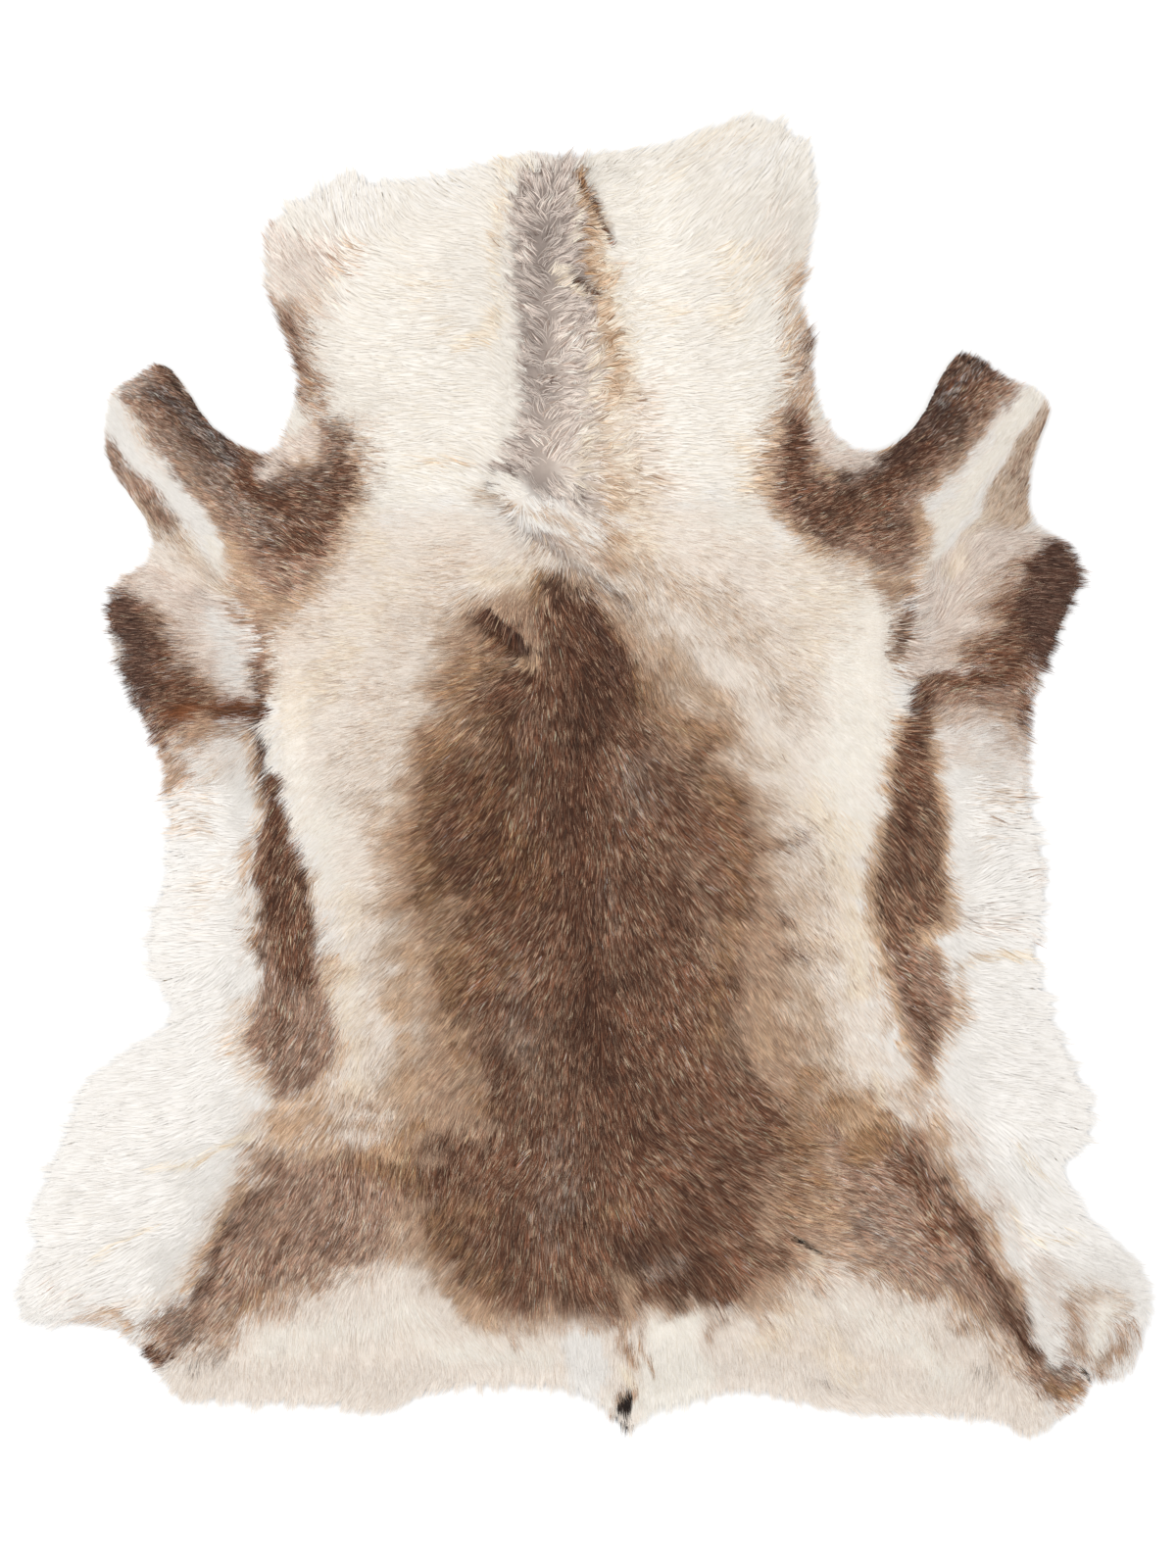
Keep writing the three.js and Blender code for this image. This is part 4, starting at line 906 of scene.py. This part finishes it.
def to_line(x, y, points, closed=False):
    """How far each place is from the line through the points."""
    ends = list(zip(points, points[1:] + points[:1] if closed else points[1:]))
    nearest = np.full(x.shape, np.inf)
    for (ax, ay), (bx, by) in ends:
        dx, dy = bx - ax, by - ay
        t = np.clip(((x - ax) * dx + (y - ay) * dy) / (dx * dx + dy * dy), 0, 1)
        nearest = np.minimum(nearest, (x - ax - t * dx) ** 2 + (y - ay - t * dy) ** 2)
    return np.sqrt(nearest)


def inside_of(x, y, points):
    """Whether each place is inside the closed outline."""
    inside = np.zeros(x.shape, bool)
    for (ax, ay), (bx, by) in zip(points, points[1:] + points[:1]):
        if ay != by:
            crosses = ((ay > y) != (by > y)) & (x < ax + (y - ay) * (bx - ax) / (by - ay))
            inside ^= crosses
    return inside


def signed(x, y, points):
    """How far each place is inside the closed outline, and below 0 outside it."""
    away = to_line(x, y, points, closed=True)
    return np.where(inside_of(x, y, points), away, -away)


def rim_of(mesh):
    """The outline of a flat-bottomed solid on the floor, in mm, as a list of points in order."""
    # Corners are compared in hundredths of a mm.
    corner, ids = {}, []
    for v in mesh.vertices:
        key = tuple(round(c * 1e5) for c in v.co)
        ids.append(corner.setdefault(key, len(corner)))
    place = {i: key for key, i in corner.items()}
    count = {}
    for face in mesh.polygons:
        if all(place[ids[v]][2] == 0 for v in face.vertices):
            ring = [ids[v] for v in face.vertices]
            for edge in zip(ring, ring[1:] + ring[:1]):
                count[frozenset(edge)] = count.get(frozenset(edge), 0) + 1
    after = {}
    for edge in (e for e, n in count.items() if n == 1):
        a, b = edge
        after.setdefault(a, []).append(b)
        after.setdefault(b, []).append(a)
    start = min(after)
    ring, last, here = [start], None, start
    while True:
        step = next(n for n in after[here] if n != last)
        if step == start:
            return [(place[i][0] / 100, place[i][1] / 100) for i in ring]
        ring.append(step)
        last, here = here, step


def heights_of(obj):
    """The height of an object's upper surface over the grid, in mm, 0 where it isn't."""
    tree = BVHTree.FromPolygons([v.co for v in obj.data.vertices],
                                [p.vertices for p in obj.data.polygons])
    down = Vector((0, 0, -1))
    found = np.zeros((len(GRID_Y), len(GRID_X)))
    for j, y in enumerate(GRID_Y):
        for i, x in enumerate(GRID_X):
            hit = tree.ray_cast(Vector((x * MM, y * MM, RAY_START)), down)[0]
            if hit is not None:
                found[j, i] = hit.z / MM
    return found


def softened(values):
    """The grid's values, each averaged with its neighbours'."""
    padded = np.pad(values, 1, "edge")
    rows = padded[:-2] + 2 * padded[1:-1] + padded[2:]
    return (rows[:, :-2] + 2 * rows[:, 1:-1] + rows[:, 2:]) / 16


def blend_of(rows, reach):
    """The charted values over the grid, each row's weighing less the further away it is."""
    grid_x, grid_y = np.meshgrid(GRID_X, GRID_Y)
    total = np.zeros(grid_x.shape + (rows.shape[1] - 2,))
    weights = np.zeros(grid_x.shape)
    for row in rows:
        away = (grid_x - row[0]) ** 2 + (grid_y - row[1]) ** 2
        weight = 1 / (away + reach**2) ** REACH_POWER
        total += weight[..., None] * row[2:]
        weights += weight
    return total / weights[..., None]


def ripple(x, y, size, seed):
    """Soft seeded noise from -1 to 1 whose spots are about size mm across."""
    side = 256
    table = np.random.default_rng(seed).uniform(-1, 1, (side, side))
    # The table repeats, and the hide lies where u and v are above 0.
    u, v = x / size + 1000, y / size + 1000
    i, j = u.astype(int), v.astype(int)
    fu, fv = smooth(u - i), smooth(v - j)
    west, east, south, north = i % side, (i + 1) % side, j % side, (j + 1) % side
    a, b = table[south, west], table[south, east]
    c, d = table[north, west], table[north, east]
    return (a * (1 - fu) + b * fu) * (1 - fv) + (c * (1 - fu) + d * fu) * fv


def ripples(x, y, parts, start=0):
    """A start and ripples on it, each given by its strength, size and seed."""
    return sum((strength * ripple(x, y, size, seed) for strength, size, seed in parts), start)


def coat_at(x, y, draw=None):
    """The coat of each place: root, tip and odd colours, the odd share, the variety.

    With draw, a number of 0 to 1 for each place, a place takes one coat or the other where two
    mix, and without it a blend of both."""
    rows = {name: np.concatenate([linear(root), linear(tip), linear(odd), [share, vary]])
            for name, (root, tip, odd, share, vary) in COATS.items()}
    # The edges of the zones wander, as the hair does.
    wx, wy = ripples(x, y, WANDER_X, x), ripples(x, y, WANDER_Y, y)
    bands = sum(strength * ripple(x, flat * y, size, seed) for strength, flat, size, seed in BANDS)
    coat = np.repeat(rows[GROUND_COAT][None], len(x), 0)
    by_hair, blended = HAIR_BY_HAIR
    for name, share, soft, half, points in CHART:
        xs, ys = zip(*points)
        reach = soft + (half or 0)
        near = ((wx > min(xs) - reach) & (wx < max(xs) + reach)
                & (wy > min(ys) - reach) & (wy < max(ys) + reach))
        if not near.any():
            continue
        if half is None:
            depth = signed(wx[near], wy[near], points)
        else:
            depth = half - to_line(wx[near], wy[near], points)
        sway = BANDING * min(soft / BANDED_FROM, 1) * bands[near]
        weight = smooth(depth / soft + 0.5 + sway) * share
        if draw is not None:
            turn = TURN * list(COATS).index(name)
            weight = np.clip((weight - by_hair * ((draw[near] + turn) % 1)) / blended, 0, 1)
        coat[near] += (rows[name] - coat[near]) * weight[:, None]
    return coat


def crease_at(x, y):
    """How far each place is in a crease, from 0 to 1."""
    depth = np.zeros(len(x))
    for half, points in CREASES:
        depth = np.maximum(depth, np.exp(-(to_line(x, y, points) / half) ** 2))
    return depth


def top_of(solid, inward):
    """The height of the coat: the solid's, kept low and softly sloped at the rim."""
    edge = RIM_HEIGHT * np.exp(np.minimum(inward.values, 0) / RIM_FALL)
    height = np.where(inward.values > 0, np.maximum(heights_of(solid), edge), edge)
    height = np.minimum(height, RIM_HEIGHT + RIM_SLOPE * np.maximum(inward.values, 0))
    for _ in range(SOFTENINGS):
        height = softened(height)
    return Field(height)


def inward_of(rim):
    """How far each place is inside the rim."""
    grid_x, grid_y = np.meshgrid(GRID_X, GRID_Y)
    return Field(signed(grid_x.ravel(), grid_y.ravel(), rim).reshape(grid_x.shape))


def comb_of(rows):
    """The heading of the hair at each place, as a vector that isn't of unit length."""
    headings = [(x, y, math.cos(math.radians(a)), math.sin(math.radians(a))) for x, y, a in rows]
    return Field(blend_of(np.array(headings, float), COMB_REACH))


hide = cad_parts["hide"]
RIM = rim_of(hide.data)
inward = inward_of(RIM)
top = top_of(hide, inward)
comb = comb_of(COMB)
length = Field(blend_of(np.array(LENGTHS, float), LENGTH_REACH)[..., 0])


def below(height, depth):
    """The height of what lies a depth, a share and a most, below the top of the coat."""
    return height - np.minimum(height * depth[0], depth[1])


def flow(x, y, turn):
    """Unit headings of the hair, turned by an angle in radians."""
    d = comb.at(x, y)
    d /= np.maximum(np.linalg.norm(d, axis=1, keepdims=True), 1e-6)
    c, s = np.cos(turn), np.sin(turn)
    return np.stack([d[:, 0] * c - d[:, 1] * s, d[:, 0] * s + d[:, 1] * c], 1)


def paths(x, y, size, turn, curl, bends):
    """Points along hairs rooted at x, y, each an arc: an array of hair, point, axis."""
    points = [np.stack([x, y], 1)]
    for step in range(bends):
        here = points[-1]
        sway = turn + curl * (step - (bends - 1) / 2)
        points.append(here + flow(here[:, 0], here[:, 1], sway) * (size / bends)[:, None])
    return np.stack(points, 1)


def locks_of(x, y, cell):
    """The lock that each root belongs to, as the index of a jittered cell, and its centre."""
    jitter = rng.uniform(-LOCK_STRAY, LOCK_STRAY, (LOCKS_ACROSS, LOCKS_ACROSS, 2))
    i0, j0 = np.floor(x / cell).astype(int), np.floor(y / cell).astype(int)
    best = np.full(len(x), np.inf)
    centre = np.zeros((len(x), 2))
    index = np.zeros(len(x), int)
    for di in (-1, 0, 1):
        for dj in (-1, 0, 1):
            i, j = (i0 + di) % LOCKS_ACROSS, (j0 + dj) % LOCKS_ACROSS
            at = np.stack([i0 + di + 0.5, j0 + dj + 0.5], 1) + jitter[i, j]
            at *= cell
            away = (at[:, 0] - x) ** 2 + (at[:, 1] - y) ** 2
            closer = away < best
            best[closer] = away[closer]
            centre[closer] = at[closer]
            index[closer] = (i * LOCKS_ACROSS + j)[closer]
    return index, centre


def pieces_of(x, y):
    """The piece of hair that each root belongs to, by its number in PIECES.

    The pieces mix where they meet, so that no edge of theirs shows."""
    owner = np.full(len(x), -1)
    mix_x, mix_y = ripples(x, y, MIX_X), ripples(x, y, MIX_Y)
    for number, row in enumerate(PIECES.values()):
        u, v = x + row["mix"] * mix_x, y + row["mix"] * mix_y
        for west, south, east, north in row["boxes"]:
            within = (u > west) & (u < east) & (v > south) & (v < north)
            owner[within & (owner < 0)] = number
    return owner


def roots_of(number, spacing):
    """Roots of one piece, one in each cell of a square grid, away from the rim."""
    xs, ys = (np.arange(-reach, reach, spacing) for reach in HAIR_REACH)
    x, y = (a.ravel() for a in np.meshgrid(xs, ys))
    x = x + rng.uniform(0, spacing, len(x))
    y = y + rng.uniform(0, spacing, len(y))
    kept = inward.at(x, y) > ROOT_INSET
    x, y = x[kept], y[kept]
    kept = pieces_of(x, y) == number
    return x[kept], y[kept]


def put(name, data):
    """A new object of the scene with the data."""
    obj = bpy.data.objects.new(name, data)
    bpy.context.scene.collection.objects.link(obj)
    return obj


def mesh_object(name, verts, faces, sizes, colours, uv, material, shade_smooth=True):
    """A mesh object from arrays: points in mm, face corners in one row, corners per face."""
    mesh = bpy.data.meshes.new(name)
    mesh.vertices.add(len(verts))
    mesh.vertices.foreach_set("co", (verts * MM).astype(np.float32).ravel())
    mesh.loops.add(len(faces))
    mesh.loops.foreach_set("vertex_index", faces.astype(np.int32))
    mesh.polygons.add(len(sizes))
    starts = np.concatenate([[0], np.cumsum(sizes)[:-1]])
    mesh.polygons.foreach_set("loop_start", starts.astype(np.int32))
    if uv is not None:
        layer = mesh.uv_layers.new(name="OFBake")
        layer.uv.foreach_set("vector", uv.astype(np.float32).ravel())
    if colours is not None:
        layer = mesh.color_attributes.new("coat", "FLOAT_COLOR", "POINT")
        rgba = np.concatenate([colours, np.ones((len(colours), 1))], 1)
        layer.data.foreach_set("color", rgba.astype(np.float32).ravel())
    mesh.update(calc_edges=True)
    mesh.polygons.foreach_set("use_smooth", np.full(len(sizes), shade_smooth))
    mesh.materials.append(material)
    return put(name, mesh)


def hair_spots(count, steps):
    """The place of each point of each ribbon in the UV map, where a ribbon has its own cell."""
    across = int(math.ceil(math.sqrt(count)))
    # It fills the middle of its cell, from the root at the bottom to the tip at the top.
    cell = np.stack([np.arange(count) % across, np.arange(count) // across], 1) / across
    u = np.array([0.15, 0.85] * steps + [0.5])
    v = np.append(np.repeat(np.linspace(0.1, 0.75, steps), 2), 0.9)
    return cell[:, None] + np.stack([u, v], 1)[None] / across


def ribbon_rows(left, right, tip):
    """The points of ribbons in one row each: left and right at each bend, then the tip."""
    count, steps = left.shape[:2]
    rows = np.empty((count, 2 * steps + 1, 3))
    rows[:, 0:-1:2] = left
    rows[:, 1:-1:2] = right
    rows[:, -1] = tip
    return rows


def hair_mesh(name, line, side, colours, material):
    """Tapered ribbons: line is hair, point, axis; side is the half-width at all but the tip."""
    count, steps = line.shape[0], line.shape[1] - 1
    verts = ribbon_rows(line[:, :-1] - side, line[:, :-1] + side, line[:, -1])
    tint = ribbon_rows(colours[:, :-1], colours[:, :-1], colours[:, -1])
    ring = []
    for k in range(steps - 1):
        ring += [2 * k, 2 * k + 1, 2 * k + 3, 2 * k + 2]
    ring += [2 * steps - 2, 2 * steps - 1, 2 * steps]
    faces = (np.arange(count)[:, None] * (2 * steps + 1) + np.array(ring)).ravel()
    sizes = np.tile([4] * (steps - 1) + [3], count)
    uv = hair_spots(count, steps)[:, ring].reshape(-1, 2)
    return mesh_object(name, verts.reshape(-1, 3), faces, sizes, tint.reshape(-1, 3), uv,
                       material)


def drawn_to_locks(x, y, centre, size, lock_turn, curl, spec):
    """Points along the hairs of a piece, drawn together in their locks."""
    bends = spec["bends"]
    own = paths(x, y, size, lock_turn + rng.normal(0, HAIR_TURN, len(x)), curl, bends)
    led = paths(centre[:, 0], centre[:, 1], size, lock_turn, curl, bends)
    apart = own[:, 0] - led[:, 0]
    for k in range(1, bends + 1):
        pull = spec["pull"] * (k / bends) ** PULL_POWER
        own[:, k] = own[:, k] * (1 - pull) + (led[:, k] + PULLED_APART * apart) * pull
    return own


def trimmed(own, lock, crease):
    """The same points, where a hair too far past the rim or at a crease is shorter."""
    count, bends = own.shape[0], own.shape[1] - 1
    start = inward.at(own[:, 0, 0], own[:, 0, 1])
    end = inward.at(own[:, -1, 0], own[:, -1, 1])
    reach = (WISP_SHARES[0] * rng.uniform(0, 1, count)
             + WISP_SHARES[1] * rng.uniform(0, 1, LOCKS)[lock])
    past = OVERHANG * reach**WISP_POWER
    for mid_x, mid_y, radius, amount in RIM_THIN:
        away = (own[:, 0, 0] - mid_x) ** 2 + (own[:, 0, 1] - mid_y) ** 2
        past -= amount * np.exp(-away / radius**2)
    fits = np.clip((start + past) / np.maximum(start - end, 1e-6), 0, 1)
    fits = np.where(end < -past, np.maximum(fits, SHORTEST), 1)
    for k in (bends // 2, bends):
        fits *= 1 - CREASE_CUT * np.maximum(crease, crease_at(own[:, k, 0], own[:, k, 1]))
    return own[:, :1] + (own - own[:, :1]) * fits[:, None, None]


def risen(own, lift):
    """The height of each point: the root sits in the pile, the tip comes out on top of it."""
    bends = own.shape[1] - 1
    z = np.empty(own.shape[:2])
    for k in range(bends + 1):
        t = k / bends
        height = top.at(own[:, k, 0], own[:, k, 1])
        rise = t**RISE_POWER
        z[:, k] = (below(height, ROOT_DEPTH) * (1 - rise) + height * TIP_LEVEL * rise
                   + lift * t * np.clip(height / FULL_LIFT, LEAST_LIFT, 1))
    return np.maximum(z, LOWEST_HAIR)


def sides_of(own, spec):
    """The half-width of each hair across its heading, rolled a little to one side or the other."""
    count, bends = own.shape[0], own.shape[1] - 1
    ahead = own[:, 1:] - own[:, :-1]
    ahead /= np.maximum(np.linalg.norm(ahead, axis=2, keepdims=True), 1e-6)
    roll = rng.uniform(-1, 1, count)[:, None] * spec["roll"]
    side = np.stack([-ahead[..., 1] * np.cos(roll), ahead[..., 0] * np.cos(roll),
                     np.broadcast_to(np.sin(roll), ahead.shape[:2])], 2)
    half = spec["width"] / 2 * rng.uniform(*HAIR_WIDTH, count)
    return side * half[:, None, None] * np.linspace(1, HAIR_TAPER, bends)[None, :, None]


def grow(name, number, spec, material):
    """One piece of hair."""
    x, y = roots_of(number, spec["spacing"])
    count = len(x)
    lock, centre = locks_of(x, y, spec["lock"])
    lock_turn = rng.normal(0, LOCK_TURN, LOCKS)[lock]
    lock_size = rng.uniform(*LOCK_SIZE, LOCKS)[lock]
    lock_shade = rng.normal(0, 1, LOCKS)[lock]
    lock_draw = rng.uniform(0, 1, LOCKS)[lock]
    lock_lift = rng.normal(0, LOCK_LIFT, LOCKS)[lock]
    curl = rng.normal(0, spec["curl"], LOCKS)[lock]
    size = length.at(x, y) * lock_size * rng.uniform(*HAIR_SIZE, count)
    own = drawn_to_locks(x, y, centre, size, lock_turn, curl, spec)
    crease = crease_at(x, y)
    own = trimmed(own, lock, crease)
    # A hair has the coat of the place where it shows, and at the rim that of its root.
    seen = own[:, 0] * (1 - SEEN_AT) + own[:, -1] * SEEN_AT
    within = np.clip(inward.at(seen[:, 0], seen[:, 1]) / RIM_SEEN, 0, 1)[:, None]
    seen = own[:, 0] + (seen - own[:, 0]) * within
    colours = tints(seen[:, 0], seen[:, 1], spec["bends"], lock_shade, lock_draw, crease)
    calm = 1 - LIGHT_CALM * lightness(colours[:, -1], *LIGHT_TIP)
    z = risen(own, (rng.uniform(*HAIR_LIFT, count) + lock_lift) * calm)
    line = np.concatenate([own, z[..., None]], 2)
    return hair_mesh(name, line, sides_of(own, spec), colours, material)


def tints(x, y, bends, lock_shade, lock_draw, crease):
    """The colour of each point of each hair."""
    count = len(x)
    strand = rng.uniform(0, 1, count)
    draw = np.where(rng.uniform(0, 1, count) < LIKE_LOCK, lock_draw, strand)
    coat = coat_at(x, y, draw)
    root, tip, odd, share, vary = np.split(coat, [3, 6, 9, 10], axis=1)
    is_odd = rng.uniform(0, 1, count)[:, None] < share
    tip = np.where(is_odd, odd, tip)
    spread = (SHADE_SPREAD[0] * lock_shade + SHADE_SPREAD[1] * rng.normal(0, 1, count)
              + ripples(x, y, SHADE_PATCHES))
    shade = np.exp(vary[:, 0] * spread)
    along = smooth((np.linspace(0, 1, bends + 1) + TIP_COLOUR[0]) / TIP_COLOUR[1])
    colours = root[:, None] * (1 - along[None, :, None]) + tip[:, None] * along[None, :, None]
    # Light hair thins at the rim and is painted a little darker there as painted shade, and a
    # crease is darkened as painted shade.
    at_rim = np.exp(-np.maximum(inward.at(x, y), 0) / RIM_SHADED)
    shade *= 1 - RIM_SHADE * lightness(tip, *LIGHT_RIM) * at_rim
    shade *= 1 - CREASE_SHADE * crease
    return np.clip(colours * shade[:, None, None], DARKEST, LIGHTEST)


# ---------------------------------------------------------------- materials


def feed(tree, target, inputs):
    """Sets inputs of a node: one given an output is linked to it, any other takes its constant."""
    for name, value in inputs.items():
        if isinstance(value, bpy.types.NodeSocket):
            tree.links.new(value, target.inputs[name])
        else:
            target.inputs[name].default_value = value


def node(tree, kind, inputs, **settings):
    """A new shader node with its inputs and its settings."""
    made = tree.nodes.new(kind)
    for name, value in settings.items():
        setattr(made, name, value)
    feed(tree, made, inputs)
    return made


def noise(tree, scale, detail):
    """Noise over the object's own place."""
    place = node(tree, "ShaderNodeTexCoord", {}).outputs["Object"]
    made = node(tree, "ShaderNodeTexNoise", {"Vector": place, "Scale": scale, "Detail": detail})
    return made.outputs["Fac"]


def ranged(tree, value, **ends):
    """A value moved from one range to another."""
    inputs = {name.replace("_", " ").title(): end for name, end in ends.items()}
    return node(tree, "ShaderNodeMapRange", {"Value": value, **inputs}).outputs["Result"]


def bumped(tree, height, strength, distance):
    """A bump by a height, as a normal."""
    inputs = {"Height": height, "Strength": strength, "Distance": distance}
    return node(tree, "ShaderNodeBump", inputs).outputs["Normal"]


def new_material(name):
    """A material, its node tree and its shader."""
    material = bpy.data.materials.new(name)
    material.use_nodes = True
    return material, material.node_tree, material.node_tree.nodes["Principled BSDF"]


def hair_material(name, grain, rough):
    """Hair: the coat's colour with fine streaks, a soft sheen and an uneven gloss."""
    material, tree, shader = new_material(name)
    coat = node(tree, "ShaderNodeAttribute", {}, attribute_name="coat").outputs["Color"]
    streak = noise(tree, grain, 3)
    # The streaks are strong on dark hair and faint on light hair.
    light = node(tree, "ShaderNodeRGBToBW", {"Color": coat}).outputs["Val"]
    depth = ranged(tree, light, from_max=0.6, to_min=0.36, to_max=0.06)
    about = node(tree, "ShaderNodeMath", {0: streak, 1: 0.5}, operation="SUBTRACT")
    level = node(tree, "ShaderNodeMath", {0: about.outputs["Value"], 1: depth, 2: 1.0},
                 operation="MULTIPLY_ADD")
    tone = node(tree, "ShaderNodeHueSaturation", {"Value": level.outputs["Value"], "Color": coat})
    feed(tree, shader, {
        "Base Color": tone.outputs["Color"],
        "Roughness": ranged(tree, streak, to_min=rough - 0.08, to_max=rough + 0.08),
        "Specular IOR Level": 0.15, "Sheen Weight": 0.03, "Sheen Roughness": 0.5})
    return material


def wool_material():
    """Underfur: the coat's colour with finer streaks, a dull gloss and a woolly bump."""
    material = hair_material("underfur_wool", 260, 0.85)
    tree = material.node_tree
    bump = bumped(tree, noise(tree, 420, 4), 0.7, 0.002)
    feed(tree, tree.nodes["Principled BSDF"], {"Normal": bump})
    return material


def skin_material():
    """The tanned flesh side: matt off-white suede with soft stains and a fine nap."""
    material, tree, shader = new_material("suede_skin")
    stain = node(tree, "ShaderNodeValToRGB", {"Fac": noise(tree, 7, 5)})
    dark, light = stain.color_ramp.elements
    dark.position, light.position = 0.3, 0.68
    dark.color = (*linear((214, 194, 164)), 1)
    light.color = (*linear((236, 224, 204)), 1)
    nap = noise(tree, 900, 3)
    feed(tree, shader, {
        "Base Color": stain.outputs["Color"],
        "Roughness": ranged(tree, nap, to_min=0.78, to_max=0.98),
        "Normal": bumped(tree, nap, 0.35, 0.0008),
        "Specular IOR Level": 0.2})
    return material


# ---------------------------------------------------------------- skin and underfur


def inset_outline(amount):
    """The rim moved inwards by amount, kept where it is still that far from every side."""
    points = np.array(RIM)
    back, on = np.roll(points, 1, 0), np.roll(points, -1, 0)
    along = on - back
    along /= np.linalg.norm(along, axis=1, keepdims=True)
    normal = np.stack([-along[:, 1], along[:, 0]], 1)
    trial = points + normal
    if signed(trial[:, 0], trial[:, 1], RIM).mean() < 0:
        normal = -normal
    moved = points + normal * amount
    far = signed(moved[:, 0], moved[:, 1], RIM) > amount * SKIN_KEPT
    return moved[far]


def skin_piece(material):
    """The skin: a thin flat sheet with its cut edge under the hair."""
    edge = inset_outline(SKIN_INSET)
    count = len(edge)
    # The same draws move a point across and one three points on along.
    wander = np.random.default_rng(5).uniform(-SKIN_WANDER, SKIN_WANDER, count)
    edge = edge + np.stack([wander, np.roll(wander, 3)], 1)
    low = np.concatenate([edge, np.zeros((count, 1))], 1)
    high = np.concatenate([edge, np.full((count, 1), SKIN_THICKNESS)], 1)
    faces = []
    for a, b, c in tessellate_polygon([[Vector((x, y, 0)) for x, y in edge]]):
        ax, ay = edge[b] - edge[a]
        bx, by = edge[c] - edge[a]
        up = (a, b, c) if ax * by - ay * bx > 0 else (a, c, b)
        faces.append([i + count for i in up])
        faces.append(list(reversed(up)))
    area = 0.5 * sum(edge[i - 1][0] * edge[i][1] - edge[i][0] * edge[i - 1][1]
                     for i in range(count))
    for i in range(count):
        j = (i + 1) % count
        wall = [i, j, j + count, i + count]
        faces.append(wall if area > 0 else wall[::-1])
    sizes = np.array([len(f) for f in faces])
    ring = np.array([i for f in faces for i in f])
    skin = mesh_object("skin", np.concatenate([low, high]), ring, sizes, None, None, material,
                       shade_smooth=False)
    span = edge.max(0) - edge.min(0)
    return skin, span * MM, abs(area) * MM * MM


def underfur_piece(material):
    """The woolly layer that the hair stands in, down to the skin at its edge."""
    xs, ys = (np.arange(-reach, reach + 0.1, SHELL_STEP) for reach in HAIR_REACH)
    x, y = (a.ravel() for a in np.meshgrid(xs, ys))
    kept = inward.at(x, y) > SHELL_INSET
    across = len(xs)
    quads = []
    for j in range(len(ys) - 1):
        for i in range(across - 1):
            first = j * across + i
            ring = [first, first + 1, first + across + 1, first + across]
            if kept[ring].all():
                quads.append(ring)
    used, faces = np.unique(quads, return_inverse=True)
    faces = faces.ravel()
    x, y = x[used], y[used]
    on_edge = np.bincount(faces) < 4
    height = below(top.at(x, y), SHELL_DEPTH) + ripples(x, y, [SHELL_ROUGH])
    height = np.maximum(height, SKIN_THICKNESS)
    height = np.where(on_edge, SKIN_THICKNESS * SHELL_EDGE, height)
    coat = coat_at(x, y)
    tint = coat[:, :3] * SHELL_TINT[0] + coat[:, 3:6] * SHELL_TINT[1]
    # Light hair lets the light through to its base, and dark hair shades it.
    tint *= (SHELL_LIGHT[0] + SHELL_LIGHT[1] * lightness(tint, *LIGHT_SHELL))[:, None]
    u = (x - xs[0]) / (xs[-1] - xs[0])
    v = (y - ys[0]) / (ys[-1] - ys[0])
    uv = np.stack([u, v], 1)[faces]
    return mesh_object("underfur", np.stack([x, y, height], 1), faces, np.full(len(quads), 4),
                       tint, uv, material)


hair = hair_material("reindeer_hair", 140, 0.56)
made = []
skin, skin_size, skin_area = skin_piece(skin_material())
made.append((skin, "skin_side"))
made.append((underfur_piece(wool_material()), "fur"))
for number, (name, spec) in enumerate(PIECES.items()):
    made.append((grow(name, number, spec, hair), "fur"))

for obj, slot in made:
    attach(obj, "root")
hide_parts("hide")

# ---------------------------------------------------------------- floor, light and camera


def floor_piece():
    """A plain pale floor."""
    mesh = bpy.data.meshes.new("floor")
    corners = [(x * FLOOR_REACH, y * FLOOR_REACH, FLOOR_LEVEL)
               for x, y in ((-1, -1), (1, -1), (1, 1), (-1, 1))]
    mesh.from_pydata(corners, [], [(0, 1, 2, 3)])
    material, tree, shader = new_material("floor_white")
    feed(tree, shader, {
        "Base Color": (0.96, 0.96, 0.96, 1), "Roughness": 0.9, "Specular IOR Level": 0.1})
    mesh.materials.append(material)
    floor = put("floor", mesh)


def studio():
    """A white sky, and soft square lamps that look at the hide."""
    scene = bpy.context.scene
    scene.world = bpy.data.worlds.new("studio")
    scene.world.use_nodes = True
    sky = scene.world.node_tree.nodes["Background"]
    feed(scene.world.node_tree, sky, {"Color": (1.0, 1.0, 1.0, 1), "Strength": 1.0})
    for name, (place, size, power) in LAMPS.items():
        data = bpy.data.lights.new(name, "AREA")
        data.shape = "SQUARE"
        data.size = size
        data.energy = power
        lamp = put(name, data)
        lamp.location = place
        lamp.rotation_mode = "QUATERNION"
        lamp.rotation_quaternion = (-Vector(place)).to_track_quat("-Z", "Y")
    scene.view_settings.view_transform = "Standard"


def camera():
    """The camera straight above, which frames the picture."""
    data = bpy.data.cameras.new("camera")
    data.sensor_width = SENSOR
    data.lens = SENSOR * CAMERA_HEIGHT / (PICTURE_HEIGHT * MM)
    eye = put("camera", data)
    eye.location = (PICTURE_CENTRE[0] * MM, PICTURE_CENTRE[1] * MM, CAMERA_HEIGHT)
    bpy.context.scene.camera = eye


floor_piece()
studio()
camera()
